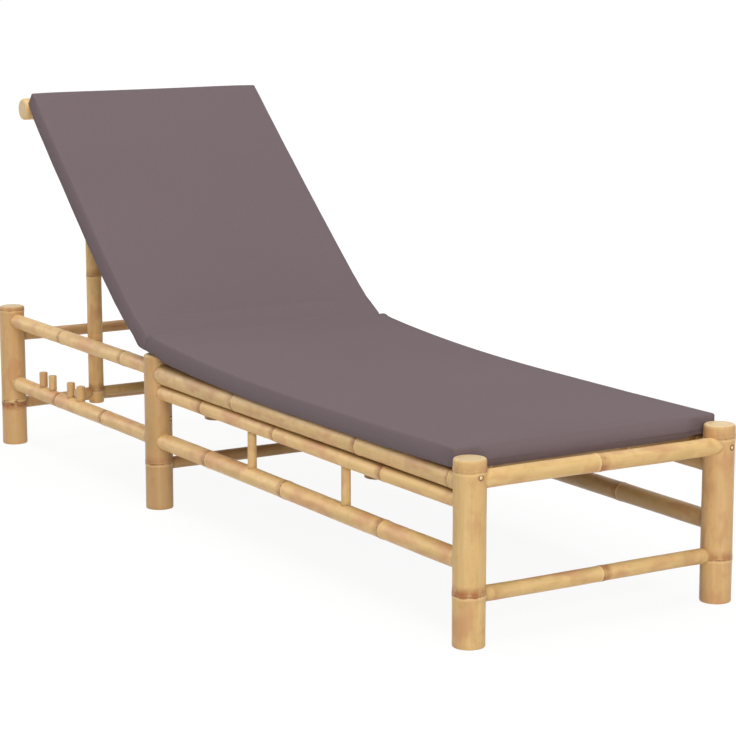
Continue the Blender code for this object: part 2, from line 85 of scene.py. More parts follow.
class BambooSettings(bpy.types.PropertyGroup):
    """Sizes and colours of the bamboo poles."""

    swell: FloatProperty(name="Node swelling", description="How far a node stands out from the pole",
                         default=0.0009, unit="LENGTH")
    groove: FloatProperty(name="Node groove", description="Depth of the line round each node",
                          default=0.0007, unit="LENGTH")
    bow: FloatProperty(name="Bow", description="How far a grown pole strays from straight",
                       default=0.0009, unit="LENGTH")
    step: FloatProperty(name="Ring step", description="Distance between rings of the mesh",
                        default=0.008, unit="LENGTH")
    sides: IntProperty(name="Sides", description="Faces round a pole", default=36, min=12)
    gap: FloatProperty(name="Joint gap", description="Air between a saddle cut and its pole",
                       default=0.0003, unit="LENGTH")
    honey: StringProperty(name="Honey", description="Main colour of the poles, sRGB", default="F0C683")
    straw: StringProperty(name="Straw", description="Paler streaks, sRGB", default="FCDA9C")
    amber: StringProperty(name="Amber", description="Darker fibres, sRGB", default="D8A268")
    olive: StringProperty(name="Olive", description="Greener patches, sRGB", default="DDBC75")
    rose: StringProperty(name="Rose", description="Warm blush between nodes, sRGB", default="DCA272")
    ring: StringProperty(name="Ring", description="Scar line at a node, sRGB", default="7E4A2C")
    blush: StringProperty(name="Node blush", description="Red-brown stain by a node, sRGB",
                          default="B2703F")
    # Painted shade: colour of the dark line where two poles touch and along a rail under the cushion
    contact_shade: StringProperty(name="Contact shade", description="Painted shade in the line where poles touch, sRGB",
                          default="6B4E2A")
    knot: StringProperty(name="Knot", description="Dark fleck where a shoot was cut, sRGB",
                         default="5A3320")
    cut: StringProperty(name="Cut end", description="Sawn end of a pole, sRGB", default="F2D29C")


class CushionSettings(bpy.types.PropertyGroup):
    """Sizes and colours of the cushion."""

    half_width: FloatProperty(name="Half width", description="Half the cushion's width",
                              default=0.2855, unit="LENGTH")
    thickness: FloatProperty(name="Thickness", description="Thickness of the foam at the sides",
                             default=0.035, unit="LENGTH")
    bulge: FloatProperty(name="Bulge", description="How far the sides fill out below their top edge",
                         default=0.007, unit="LENGTH")
    crown: FloatProperty(name="Crown", description="Rise of the middle over the edges",
                         default=0.002, unit="LENGTH")
    pressure: FloatProperty(name="Pressure", description="Pressure inside the cover", default=0.3)
    cap: FloatProperty(name="Cap", description="Furthest that the swelling moves a point",
                       default=0.004, unit="LENGTH")
    cloth: StringProperty(name="Cloth", description="Colour of the cover, sRGB", default="7D6E71")
    cloth_light: StringProperty(name="Light yarn", description="Paler yarn of the weave, sRGB",
                                default="857679")
    cloth_dark: StringProperty(name="Dark yarn", description="Darker yarn of the weave, sRGB",
                               default="6E6063")


class StageSettings(bpy.types.PropertyGroup):
    """Camera and lights."""

    lens: FloatProperty(name="Lens", description="Focal length in millimetres", default=117.81,
                        unit="CAMERA")
    eye: FloatVectorProperty(name="Eye", description="Where the camera stands",
                             default=(-2.493, -4.2677, 1.213), subtype="TRANSLATION", unit="LENGTH")
    yaw: FloatProperty(name="Yaw", description="Turn from +Y towards +X", default=math.radians(31.498),
                       subtype="ANGLE")
    pitch: FloatProperty(name="Pitch", description="Tilt above the horizon",
                         default=math.radians(-10.401), subtype="ANGLE")
    key: FloatProperty(name="Key", description="Power of the main lamp in watts", default=320.0,
                       unit="POWER")
    top: FloatProperty(name="Top", description="Power of the overhead lamp in watts", default=430.0,
                       unit="POWER")
    front: FloatProperty(name="Front", description="Power of the front lamp in watts", default=400.0,
                         unit="POWER")
    side: FloatProperty(name="Side", description="Power of the lamp on the right in watts", default=55.0,
                        unit="POWER")
    rear: FloatProperty(name="Rear", description="Power of the rear left lamp in watts", default=200.0,
                        unit="POWER")
    sky: FloatProperty(name="Sky", description="Strength of the even light around", default=0.03)


class LoungerSettings(bpy.types.PropertyGroup):
    """Everything a user would change."""

    bamboo: PointerProperty(name="Bamboo", description="Sizes and colours of the poles", type=BambooSettings)
    cushion: PointerProperty(name="Cushion", description="Sizes and colours of the cushion",
                             type=CushionSettings)
    stage: PointerProperty(name="Stage", description="Camera and lights", type=StageSettings)


def linear(code, alpha=1.0):
    """Turn an sRGB hex code to linear colour."""
    result = []
    for k in (0, 2, 4):
        value = int(code[k:k + 2], 16) / 255.0
        result.append(value / 12.92 if value <= 0.04045 else ((value + 0.055) / 1.055) ** 2.4)
    return (*result, alpha)


# Kinds of node and settings that come up often, for add
MATH, RANGE, MIX, VECTOR = "ShaderNodeMath", "ShaderNodeMapRange", "ShaderNodeMix", "ShaderNodeVectorMath"
MAPPING, NOISE, BUMP = "ShaderNodeMapping", "ShaderNodeTexNoise", "ShaderNodeBump"
XYZ, JOIN, MOVE = "ShaderNodeCombineXYZ", "GeometryNodeJoinGeometry", "GeometryNodeTransform"
LINEAR, SMOOTH, RGBA = {}, {"interpolation_type": "SMOOTHSTEP"}, {"data_type": "RGBA"}
ADD, SUBTRACT, MULTIPLY, DIVIDE, SCALE, LENGTH, MAXIMUM, MINIMUM = (
    {"operation": name}
    for name in ("ADD", "SUBTRACT", "MULTIPLY", "DIVIDE", "SCALE", "LENGTH", "MAXIMUM", "MINIMUM"))
ABSOLUTE, ROUND, SQRT, EXPONENT, SINE, COSINE, GREATER_THAN, LESS_THAN = (
    {"operation": name}
    for name in ("ABSOLUTE", "ROUND", "SQRT", "EXPONENT", "SINE", "COSINE", "GREATER_THAN", "LESS_THAN"))


def add(tree, kind, settings=None, links=None, out=None):
    """Add one node with its settings.

    links gives inputs, by name or in order: a value, an output, or a node for its first output.
    """
    node = tree.nodes.new(kind)
    for name, value in (settings or {}).items():
        setattr(node, name, value)
    for name, value in links.items() if isinstance(links, dict) else enumerate(links or ()):
        if isinstance(value, bpy.types.Node):
            value = value.outputs[0]
        if isinstance(value, bpy.types.NodeSocket):
            tree.links.new(value, node.inputs[name])
        else:
            node.inputs[name].default_value = value
    return node if out is None else node.outputs[out]


# Materials

def new_material(name):
    """Return an empty material and its tree."""
    material = bpy.data.materials.new(name)
    material.use_nodes = True
    tree = material.node_tree
    tree.nodes.clear()
    return material, tree


def varnished_bamboo(name, depth):
    """Peeled bamboo under satin varnish: long soft fibres, blush by each node, thin scar lines.

    The eye gets a honey pole whose colour drifts from length to length. depth darkens it.
    """
    look = bpy.context.scene.lounger.bamboo
    material, tree = new_material(name)
    place = add(tree, "ShaderNodeAttribute", {"attribute_name": "grain_place"}, out="Vector")
    along, pitch, seed, tone, end, pole_blush, scar, knots, veins, seam, touch, axis_gap = (
        add(tree, "ShaderNodeAttribute", {"attribute_name": attribute}, out="Fac")
        for attribute in ("node_place", "node_pitch", "pole_seed", "tone", "cut_end", "blush", "scar",
                          "knots", "veins", "joint_edge", "touch", "axis_gap"))

    # Scale, detail and shift of the noises in the pole's own grain, which are stretched along it
    grains = (
        # Fibre bundles are 0.5 mm apart; drawn 2.4 mm apart so that they show, in streaks 10 mm wide
        ((420, 420, 12), 3.0, (0.0, 0.0, 0.0)),
        ((100, 100, 7), 2.0, (1.7, 5.2, 3.1)),
        # Soft patches 40 mm wide and 80 mm long, and small ones of 16 mm
        ((25, 25, 12), 2.0, (0.0, 0.0, 0.0)),
        ((23, 23, 11), 1.0, (9.3, 2.2, 6.6)),
        ((62, 62, 45), 3.0, (4.1, 7.3, 2.9)),
        # Paths of the dried veins, 38 mm apart and five times as long
        ((26, 26, 5), 1.0, (3.3, 8.1, 0.4)),
    )
    fibres, streaks, drift, olive, patch, paths = (
        add(tree, NOISE, {}, {"Vector": add(tree, MAPPING, {}, {"Vector": place, "Scale": scale,
                                                                "Location": shift}),
                              "Scale": 1.0, "Detail": detail, "Roughness": 0.6}, "Fac")
        for scale, detail, shift in grains)

    # Where the nearest node is, worked out here so that nothing shows halfway between two nodes
    nearest = add(tree, MATH, ROUND, (along,))
    gap = add(tree, MATH, MULTIPLY, (add(tree, MATH, SUBTRACT, (along, nearest)), pitch))
    number = add(tree, MATH, ADD, (nearest, add(tree, MATH, MULTIPLY, (seed, 31.0))))
    own = add(tree, "ShaderNodeTexWhiteNoise", {"noise_dimensions": "1D"}, {"W": number}, "Value")
    # Scars waver by 1 mm either way, and on one node in five they face the other way
    gap = add(tree, MATH, ADD, (gap, add(tree, RANGE, LINEAR, (patch, 0.3, 0.7, -0.0013, 0.0013))))
    gap = add(tree, MATH, MULTIPLY, (gap, add(tree, RANGE, LINEAR, (own, 0.799, 0.801, 1.0, -1.0))))
    near = add(tree, MATH, ABSOLUTE, (gap,))

    body = add(tree, MIX, RGBA, {0: add(tree, RANGE, LINEAR, (streaks, 0.38, 0.7, 0.0, 0.6)),
                                 6: linear(look.honey), 7: linear(look.straw)}, 2)
    body = add(tree, MIX, RGBA, {0: add(tree, RANGE, LINEAR, (fibres, 0.45, 0.75, 0.0, 0.18)), 6: body,
                                 7: linear(look.amber)}, 2)
    body = add(tree, MIX, RGBA, {0: add(tree, RANGE, LINEAR, (olive, 0.5, 0.68, 0.0, 0.5)), 6: body,
                                 7: linear(look.olive)}, 2)
    rosy = add(tree, MATH, MAXIMUM, (add(tree, RANGE, LINEAR, (drift, 0.5, 0.66, 0.0, 0.7)), pole_blush))
    body = add(tree, MIX, RGBA, {0: rosy, 6: body, 7: linear(look.rose)}, 2)
    body = add(tree, MIX, RGBA, {0: add(tree, RANGE, LINEAR, (patch, 0.54, 0.7, 0.0, 0.35)), 6: body,
                                 7: linear(look.amber)}, 2)
    # Each length between two nodes has its own shade
    shade = add(tree, MATH, MULTIPLY, (add(tree, RANGE, LINEAR, (own, 0.0, 1.0, 0.92, 1.05)), tone))
    shade = add(tree, MATH, MULTIPLY, (shade, depth))
    body = add(tree, VECTOR, SCALE, {0: body, "Scale": shade}, 0)

    # Red-brown band 14 mm wide on one side of the scar line, pale lip 5 mm wide on the other
    stain = add(tree, MATH, MULTIPLY, (add(tree, RANGE, SMOOTH, (gap, 0.022, 0.006, 0.0, 1.0)),
                                       add(tree, RANGE, SMOOTH, (gap, -0.0035, 0.002, 0.0, 1.0))))
    stain = add(tree, MATH, MULTIPLY, (stain, add(tree, RANGE, LINEAR, (patch, 0.36, 0.56, 0.35, 1.0))))
    stain = add(tree, MATH, MULTIPLY, (stain, add(tree, RANGE, LINEAR, (own, 0.05, 0.8, 0.6, 0.9))))
    # On an old healed node only blotches of it are left
    healed = add(tree, MATH, MAXIMUM, (scar, add(tree, RANGE, SMOOTH, (drift, 0.42, 0.62, 0.1, 0.75))))
    stain = add(tree, MATH, MULTIPLY, (stain, healed))
    body = add(tree, MIX, RGBA, {0: stain, 6: body, 7: linear(look.blush)}, 2)
    lip = add(tree, MATH, MULTIPLY, (add(tree, RANGE, SMOOTH, (gap, -0.0075, -0.004, 0.0, 0.45)),
                                     add(tree, RANGE, LINEAR, (gap, -0.0008, -0.002))))
    body = add(tree, MIX, RGBA, {0: lip, 6: body, 7: linear(look.straw)}, 2)

    # Scar line some 3 mm wide, thick and thin, with a fainter one 6 mm on
    line = add(tree, RANGE, SMOOTH, (near, 0.0026, 0.0004, 0.0, 0.7))
    second = add(tree, MATH, ABSOLUTE, (add(tree, MATH, SUBTRACT, (gap, 0.006)),))
    lines = add(tree, MATH, MAXIMUM, (line, add(tree, RANGE, SMOOTH, (second, 0.002, 0.0004, 0.0, 0.3))))
    lines = add(tree, MATH, MULTIPLY, (lines, add(tree, RANGE, LINEAR, (streaks, 0.32, 0.6, 1.0, 0.25))))
    lines = add(tree, MATH, MULTIPLY, (lines, scar))
    body = add(tree, MIX, RGBA, {0: lines, 6: body, 7: linear(look.ring)}, 2)

    # Dark knots 6 to 10 mm long, only close to some nodes
    knot_place = add(tree, MAPPING, {}, {"Vector": place, "Scale": (58, 58, 120)}, "Vector")
    knot = add(tree, "ShaderNodeTexVoronoi", {"feature": "F1"}, {"Vector": knot_place, "Scale": 1.0},
               "Distance")
    knot = add(tree, MATH, MULTIPLY, (add(tree, RANGE, SMOOTH, (knot, 0.45, 0.2, 0.0, 0.85)),
                                      add(tree, RANGE, LINEAR, (near, 0.009, 0.004))))
    knot = add(tree, MATH, MULTIPLY, (knot, add(tree, MATH, LESS_THAN, (along, 0.3))))
    body = add(tree, MIX, RGBA, {0: add(tree, MATH, MULTIPLY, (knot, knots)), 6: body,
                                 7: linear(look.knot)}, 2)

    # Dried veins, soft rust-coloured smears some 10 mm wide that rise up to 70 mm above a node
    vein = add(tree, MATH, ABSOLUTE, (add(tree, MATH, SUBTRACT, (paths, 0.5)),))
    vein = add(tree, MATH, MULTIPLY, (add(tree, RANGE, SMOOTH, (vein, 0.06, 0.0, 0.0, 0.45)),
                                      add(tree, RANGE, LINEAR, (gap, 0.075, 0.03))))
    vein = add(tree, MATH, MULTIPLY, (vein, add(tree, RANGE, LINEAR, (gap, 0.0, 0.005))))
    vein = add(tree, MATH, MULTIPLY, (vein, add(tree, MATH, LESS_THAN, (along, 0.3))))
    body = add(tree, MIX, RGBA, {0: add(tree, MATH, MULTIPLY, (vein, veins)), 6: body,
                                 7: linear(look.blush)}, 2)

    # Painted shade darkens the edge of a saddle cut over 3 mm, and the line where two poles touch or a rail
    # lies under the cushion
    joint_shade = add(tree, MATH, MULTIPLY, (seam, 0.35))
    body = add(tree, MIX, RGBA, {0: joint_shade, 6: body, 7: linear(look.ring)}, 2)
    body = add(tree, MIX, RGBA, {0: touch, 6: body, 7: linear(look.contact_shade)}, 2)

    # Sawn ends show pores 1.2 mm apart, a faint ring where the wall stops and a darker skin
    pore = add(tree, NOISE, {}, {"Vector": place, "Scale": 800.0, "Detail": 1.0}, "Fac")
    wall = add(tree, MATH, ABSOLUTE, (add(tree, MATH, SUBTRACT, (axis_gap, 0.62)),))
    marks = add(tree, MATH, MULTIPLY, (add(tree, RANGE, LINEAR, (pore, 0.35, 0.65, 0.92, 1.03)),
                                       add(tree, RANGE, SMOOTH, (wall, 0.07, 0.02, 1.0, 0.88))))
    marks = add(tree, MATH, MULTIPLY, (marks, add(tree, RANGE, LINEAR, (axis_gap, 0.93, 1.0, 1.0, 0.85))))
    marks = add(tree, MATH, MULTIPLY, (marks, add(tree, MATH, MULTIPLY, (tone, depth))))
    sawn = add(tree, VECTOR, SCALE, {0: linear(look.cut)[:3], "Scale": marks}, 0)
    body = add(tree, MIX, RGBA, {0: end, 6: body, 7: sawn}, 2)

    gloss = add(tree, RANGE, LINEAR, (fibres, 0.0, 1.0, 0.38, 0.52))
    dents = add(tree, MATH, SUBTRACT, (add(tree, MATH, MULTIPLY, (fibres, 0.5)), lines))
    bump = add(tree, BUMP, {}, {"Strength": 0.25, "Distance": 0.0004, "Height": dents}, "Normal")
    shader = add(tree, "ShaderNodeBsdfPrincipled", {}, {"Base Color": body, "Roughness": gloss,
                                                        "Normal": bump, "Coat Weight": 0.1,
                                                        "Coat Roughness": 0.35, "Specular IOR Level": 0.35})
    add(tree, "ShaderNodeOutputMaterial", {}, {"Surface": shader.outputs[0]})
    return material


def turned_dowel():
    """Beech dowel, turned and left plain: pale, fine straight grain, matt."""
    material, tree = new_material("Turned beech dowel")
    place = add(tree, "ShaderNodeTexCoord", out="Object")
    # Grain lines 1 mm apart along X
    stretched = add(tree, MAPPING, {}, {"Vector": place, "Scale": (30, 900, 900)}, "Vector")
    grain = add(tree, NOISE, {}, {"Vector": stretched, "Scale": 1.0, "Detail": 3.0}, "Fac")
    colour = add(tree, MIX, RGBA, {0: grain, 6: linear("C79A68"), 7: linear("DDB786")}, 2)
    bump = add(tree, BUMP, {}, {"Strength": 0.2, "Distance": 0.0002, "Height": grain}, "Normal")
    shader = add(tree, "ShaderNodeBsdfPrincipled", {}, {"Base Color": colour, "Roughness": 0.6,
                                                        "Normal": bump})
    add(tree, "ShaderNodeOutputMaterial", {}, {"Surface": shader.outputs[0]})
    return material


def zinc_screw():
    """Yellow zinc-plated steel, stamped: soft gold metal with a dull cross recess."""
    material, tree = new_material("Yellow zinc screw steel")
    place = add(tree, "ShaderNodeTexCoord", out="Object")
    # Handling marks about 1 mm across
    marks = add(tree, NOISE, {}, {"Vector": place, "Scale": 900.0, "Detail": 2.0}, "Fac")
    colour = add(tree, MIX, RGBA, {0: marks, 6: linear("D8BC8A"), 7: linear("EAD7AE")}, 2)
    rough = add(tree, RANGE, {}, {"Value": marks, "To Min": 0.3, "To Max": 0.5}, "Result")
    shader = add(tree, "ShaderNodeBsdfPrincipled", {}, {"Base Color": colour, "Metallic": 1.0,
                                                        "Roughness": rough})
    add(tree, "ShaderNodeOutputMaterial", {}, {"Surface": shader.outputs[0]})
    return material


def bored_rim():
    """Raw drilled edge of bamboo round a screw: torn brown fibres, matt."""
    material, tree = new_material("Drilled bamboo edge")
    place = add(tree, "ShaderNodeTexCoord", out="Object")
    # Torn fibres about 0.8 mm wide
    torn = add(tree, NOISE, {}, {"Vector": place, "Scale": 1200.0, "Detail": 2.0}, "Fac")
    colour = add(tree, MIX, RGBA, {0: torn, 6: linear("6E4A2A"), 7: linear("A87B4A")}, 2)
    bump = add(tree, BUMP, {}, {"Strength": 0.4, "Distance": 0.0003, "Height": torn}, "Normal")
    shader = add(tree, "ShaderNodeBsdfPrincipled", {}, {"Base Color": colour, "Roughness": 0.8,
                                                        "Normal": bump})
    add(tree, "ShaderNodeOutputMaterial", {}, {"Surface": shader.outputs[0]})
    return material


def woven_cover():
    """Solution-dyed polyester canvas, plain weave: matt plum grey with a faint soft bloom."""
    look = bpy.context.scene.lounger.cushion
    material, tree = new_material("Polyester canvas plum grey")
    place = add(tree, "ShaderNodeTexCoord", out="Object")
    # Yarns are 0.5 mm apart; drawn 1.6 mm apart, the finest that shows
    across = add(tree, "ShaderNodeTexWave", {"wave_type": "BANDS", "bands_direction": "X"},
                 {"Vector": place, "Scale": 195.0, "Distortion": 1.2, "Detail": 1.0}, "Fac")
    along_place = add(tree, MAPPING, {}, {"Vector": place, "Scale": (0.0, 1.0, 1.0)}, "Vector")
    along = add(tree, "ShaderNodeTexWave", {"wave_type": "BANDS", "bands_direction": "DIAGONAL"},
                {"Vector": along_place, "Scale": 195.0, "Distortion": 1.2, "Detail": 1.0}, "Fac")
    weave = add(tree, MATH, MULTIPLY, {0: across, 1: along}, 0)
    slub = add(tree, NOISE, {}, {"Vector": place, "Scale": 260.0, "Detail": 3.0}, "Fac")
    drift = add(tree, NOISE, {}, {"Vector": place, "Scale": 3.0, "Detail": 1.0}, "Fac")
    share = add(tree, RANGE, {}, {"Value": weave, "To Max": 0.35}, "Result")
    colour = add(tree, MIX, RGBA, {0: share, 6: linear(look.cloth), 7: linear(look.cloth_light)}, 2)
    dim = add(tree, RANGE, {}, {"Value": slub, "From Min": 0.35, "From Max": 0.7, "To Max": 0.22}, "Result")
    colour = add(tree, MIX, RGBA, {0: dim, 6: colour, 7: linear(look.cloth_dark)}, 2)
    level = add(tree, RANGE, {}, {"Value": drift, "To Min": 0.96, "To Max": 1.04}, "Result")
    colour = add(tree, VECTOR, SCALE, {0: colour, "Scale": level}, 0)
    height = add(tree, MATH, ADD, {0: weave, 1: slub}, 0)
    bump = add(tree, BUMP, {}, {"Strength": 0.2, "Distance": 0.0004, "Height": height}, "Normal")
    shader = add(tree, "ShaderNodeBsdfPrincipled", {}, {"Base Color": colour, "Roughness": 0.88,
                                                        "Normal": bump, "Specular IOR Level": 0.05,
                                                        "Sheen Weight": 0.03, "Sheen Roughness": 0.5})
    add(tree, "ShaderNodeOutputMaterial", {}, {"Surface": shader.outputs[0]})
    return material


# Bamboo poles

def new_tree(name, taken, made, sockets):
    """Return a Geometry Nodes tree with its named inputs, and the outputs that give them."""
    tree = bpy.data.node_groups.new(name, "GeometryNodeTree")
    tree.is_modifier = True
    tree.interface.new_socket(taken, in_out="INPUT", socket_type="NodeSocketGeometry")
    for kind, names in sockets.items():
        for socket in names:
            tree.interface.new_socket(socket, in_out="INPUT", socket_type=f"NodeSocket{kind}")
    tree.interface.new_socket(made, in_out="OUTPUT", socket_type="NodeSocketGeometry")
    return tree, add(tree, "NodeGroupInput").outputs


# How far a swelling and a groove reach on each side of their node
SWELL_REACH, GROOVE_REACH = 0.006, 0.0013
# How far apart the poles' seeds lie in the noise
SEED_SHIFT = 3.7


def pole_tree():
    """Geometry Nodes that grow a pole along a line: swollen nodes, bow, sawn or saddle-cut ends."""
    tree, given = new_tree("Bamboo pole", "Line", "Pole", {
        "Float": ("Radius", "Length", "Start Cut Radius", "Start Cut Offset", "End Cut Radius",
                  "End Cut Offset", "Joint Gap", "Start Rim", "End Rim", "First Node", "Node Pitch",
                  "Node Drift", "Swell", "Groove", "Bow", "Tone", "Blush", "Last Scar", "Knots", "Veins",
                  "Taper", "Rise", "Touch Plus", "Touch Minus"),
        "Int": ("Seed", "Sides"), "Material": ("Material",)})

    def node_count(height):
        """Nodes passed since the first, as a smooth number, and the local length of an internode."""
        passed = add(tree, MATH, DIVIDE, (add(tree, MATH, SUBTRACT, (height, given["First Node"])),
                                          given["Node Pitch"]))
        grown = add(tree, MATH, MULTIPLY, (add(tree, MATH, SUBTRACT, (passed, 1.0)), given["Node Drift"]))
        slope = add(tree, MATH, ADD,
                    (1.0,
                     add(tree, MATH, ADD,
                         (grown, add(tree, MATH, MULTIPLY, (passed, given["Node Drift"]))))))
        pitch = add(tree, MATH, DIVIDE, (given["Node Pitch"], add(tree, MATH, MAXIMUM, (slope, 0.2))))
        return add(tree, MATH, MULTIPLY, (passed, add(tree, MATH, ADD, (1.0, grown)))), pitch

    def rim_loss(rim, distance):
        """How much a rounded rim takes off the radius at this distance from the end."""
        inside = add(tree, MATH, MAXIMUM, (add(tree, MATH, SUBTRACT, (rim, distance)), 0.0))
        square = add(tree, MATH, SUBTRACT, (add(tree, MATH, MULTIPLY, (rim, rim)),
                                            add(tree, MATH, MULTIPLY, (inside, inside))))
        return add(tree, MATH, SUBTRACT,
                   (rim, add(tree, MATH, SQRT, (add(tree, MATH, MAXIMUM, (square, 0.0)),))))

    def scar_at(passed):
        """Strength of a node's scar: full, but for the last one."""
        last = add(tree, MATH, GREATER_THAN, (passed, 0.5))
        return add(tree, MATH, ADD,
                   (add(tree, MATH, MULTIPLY, (last, add(tree, MATH, SUBTRACT, (given["Last Scar"], 1.0)))),
                    1.0))

    height = add(tree, "ShaderNodeSeparateXYZ", {}, {0: add(tree, "GeometryNodeInputPosition", out=0)}, 2)
    passed, pitch = node_count(height)
    nearest = add(tree, MATH, ROUND, (passed,))
    gap = add(tree, MATH, MULTIPLY, (add(tree, MATH, SUBTRACT, (passed, nearest)), pitch))
    spread = add(tree, MATH, DIVIDE, (gap, SWELL_REACH))
    bulge = add(tree, MATH, EXPONENT,
                (add(tree, MATH, MULTIPLY, (add(tree, MATH, MULTIPLY, (spread, spread)), -1.0)),))
    notch = add(tree, MATH, DIVIDE, (gap, GROOVE_REACH))
    notch = add(tree, MATH, EXPONENT,
                (add(tree, MATH, MULTIPLY, (add(tree, MATH, MULTIPLY, (notch, notch)), -1.0)),))
    # The radius wavers by 0.2 mm or so over lengths of 140 mm, and each seed starts elsewhere
    own_start = add(tree, MATH, MULTIPLY, (given["Seed"], SEED_SHIFT))
    place = add(tree, MATH, ADD, (add(tree, MATH, MULTIPLY, (height, 7.0)), own_start))
    waver = add(tree, NOISE, {"noise_dimensions": "1D"}, {"W": place, "Scale": 1.0, "Detail": 1.0}, 0)
    share = add(tree, MATH, DIVIDE, (height, given["Length"]))
    radius = add(tree, MATH, ADD, (given["Radius"], add(tree, MATH, MULTIPLY, (share, given["Taper"]))))
    radius = add(tree, MATH, ADD, (radius, add(tree, MATH, MULTIPLY, (bulge, given["Swell"]))))
    notch = add(tree, MATH, MULTIPLY, (notch, scar_at(passed)))
    radius = add(tree, MATH, SUBTRACT, (radius, add(tree, MATH, MULTIPLY, (notch, given["Groove"]))))
    waver = add(tree, MATH, MULTIPLY, (add(tree, MATH, SUBTRACT, (waver, 0.5)), 0.0008))
    radius = add(tree, MATH, ADD, (radius, waver))
    radius = add(tree, MATH, SUBTRACT, (radius, rim_loss(given["Start Rim"], height)))
    from_end = add(tree, MATH, SUBTRACT, (given["Length"], height))
    radius = add(tree, MATH, SUBTRACT, (radius, rim_loss(given["End Rim"], from_end)))
    inset = add(tree, "GeometryNodeInputNamedAttribute", {"data_type": "FLOAT"}, {"Name": "inset"}, 0)
    radius = add(tree, MATH, MULTIPLY, (radius, inset))
    line = add(tree, "GeometryNodeMeshToCurve", {}, {0: given["Line"]}, 0)
    ring = add(tree, "GeometryNodeCurvePrimitiveCircle", {}, {"Resolution": given["Sides"], "Radius": 1.0}, 0)
    skin = add(tree, "GeometryNodeCurveToMesh", {}, {"Curve": line, "Profile Curve": ring,
                                                     "Scale": radius, "Fill Caps": True}, 0)

    place = add(tree, "GeometryNodeInputPosition", out=0)
    parts = add(tree, "ShaderNodeSeparateXYZ", {}, {0: place})
    height = parts.outputs[2]
    passed, pitch = node_count(height)
    shift = add(tree, XYZ, {}, {2: add(tree, MATH, MULTIPLY, (given["Seed"], SEED_SHIFT))}, 0)
    grain = add(tree, VECTOR, ADD, {0: place, 1: shift}, 0)
    facing = add(tree, "ShaderNodeSeparateXYZ", {}, {0: add(tree, "GeometryNodeInputNormal", out=0)})
    sawn = add(tree, MATH, GREATER_THAN, (add(tree, MATH, ABSOLUTE, (facing.outputs[2],)), 0.85))

    def touch_shade(strength, towards):
        """Painted shade on the side of the pole that faces its neighbour."""
        near = add(tree, RANGE, SMOOTH, {"Value": add(tree, MATH, MULTIPLY, (facing.outputs[1], towards)),
                                         "From Min": 0.72, "From Max": 0.97}, 0)
        return add(tree, MATH, MULTIPLY, (near, strength))

    touch = add(tree, MATH, MAXIMUM, (touch_shade(given["Touch Plus"], 1.0),
                                      touch_shade(given["Touch Minus"], -1.0)))
    flat = add(tree, XYZ, {}, {0: parts.outputs[0], 1: parts.outputs[1]}, 0)
    spoke = add(tree, VECTOR, LENGTH, {0: flat}, 1)

    def edge_shade(cut_radius, distance):
        """Painted shade along the last 4 mm before a saddle cut."""
        fall = add(tree, RANGE, SMOOTH, {"Value": distance, "From Min": 0.0005, "From Max": 0.004,
                                         "To Min": 1.0, "To Max": 0.0}, 0)
        return add(tree, MATH, MULTIPLY, (fall, add(tree, MATH, GREATER_THAN, (cut_radius, 0.0))))

    seam = add(tree, MATH, MAXIMUM, (edge_shade(given["Start Cut Radius"], height),
                                     edge_shade(given["End Cut Radius"],
                                                add(tree, MATH, SUBTRACT, (given["Length"], height)))))
    off_axis = add(tree, MATH, DIVIDE, (spoke, given["Radius"]))
    for name, kind, domain, value in (("grain_place", "FLOAT_VECTOR", "POINT", grain),
                                      ("node_place", "FLOAT", "POINT", passed),
                                      ("node_pitch", "FLOAT", "POINT", pitch),
                                      ("pole_seed", "FLOAT", "POINT", given["Seed"]),
                                      ("scar", "FLOAT", "POINT", scar_at(passed)),
                                      ("knots", "FLOAT", "POINT", given["Knots"]),
                                      ("veins", "FLOAT", "POINT", given["Veins"]),
                                      ("tone", "FLOAT", "POINT", given["Tone"]),
                                      ("blush", "FLOAT", "POINT", given["Blush"]),
                                      ("joint_edge", "FLOAT", "POINT", seam),
                                      ("touch", "FLOAT", "POINT", touch),
                                      ("axis_gap", "FLOAT", "POINT", off_axis),
                                      ("cut_end", "FLOAT", "FACE", sawn)):
        skin = add(tree, "GeometryNodeStoreNamedAttribute", {"data_type": kind, "domain": domain},
                   {"Geometry": skin, "Name": name, "Value": value}, 0)

    # The skin behind a saddle cut draws back less and less, over 60 mm or most of a short pole
    fade = add(tree, MATH, MINIMUM, (0.06, add(tree, MATH, MULTIPLY, (given["Length"], 0.85))))

    def saddle(cut_radius, offset, distance):
        """How far an end draws back to fit round the pole that it meets."""
        reach = add(tree, MATH, ADD, (cut_radius, given["Joint Gap"]))
        aside = add(tree, MATH, SUBTRACT, (parts.outputs[0], offset))
        square = add(tree, MATH, SUBTRACT, (add(tree, MATH, MULTIPLY, (reach, reach)),
                                            add(tree, MATH, MULTIPLY, (aside, aside))))
        depth = add(tree, MATH, SQRT, (add(tree, MATH, MAXIMUM, (square, 0.0)),))
        depth = add(tree, MATH, MULTIPLY, (depth, add(tree, MATH, GREATER_THAN, (cut_radius, 0.0))))
        weight = add(tree, RANGE, SMOOTH,
                     {"Value": distance, "From Min": 0.0, "From Max": fade, "To Min": 1.0, "To Max": 0.0}, 0)
        return add(tree, MATH, MULTIPLY, (depth, weight))

    lift = saddle(given["Start Cut Radius"], given["Start Cut Offset"], height)
    drop = saddle(given["End Cut Radius"], given["End Cut Offset"],
                  add(tree, MATH, SUBTRACT, (given["Length"], height)))
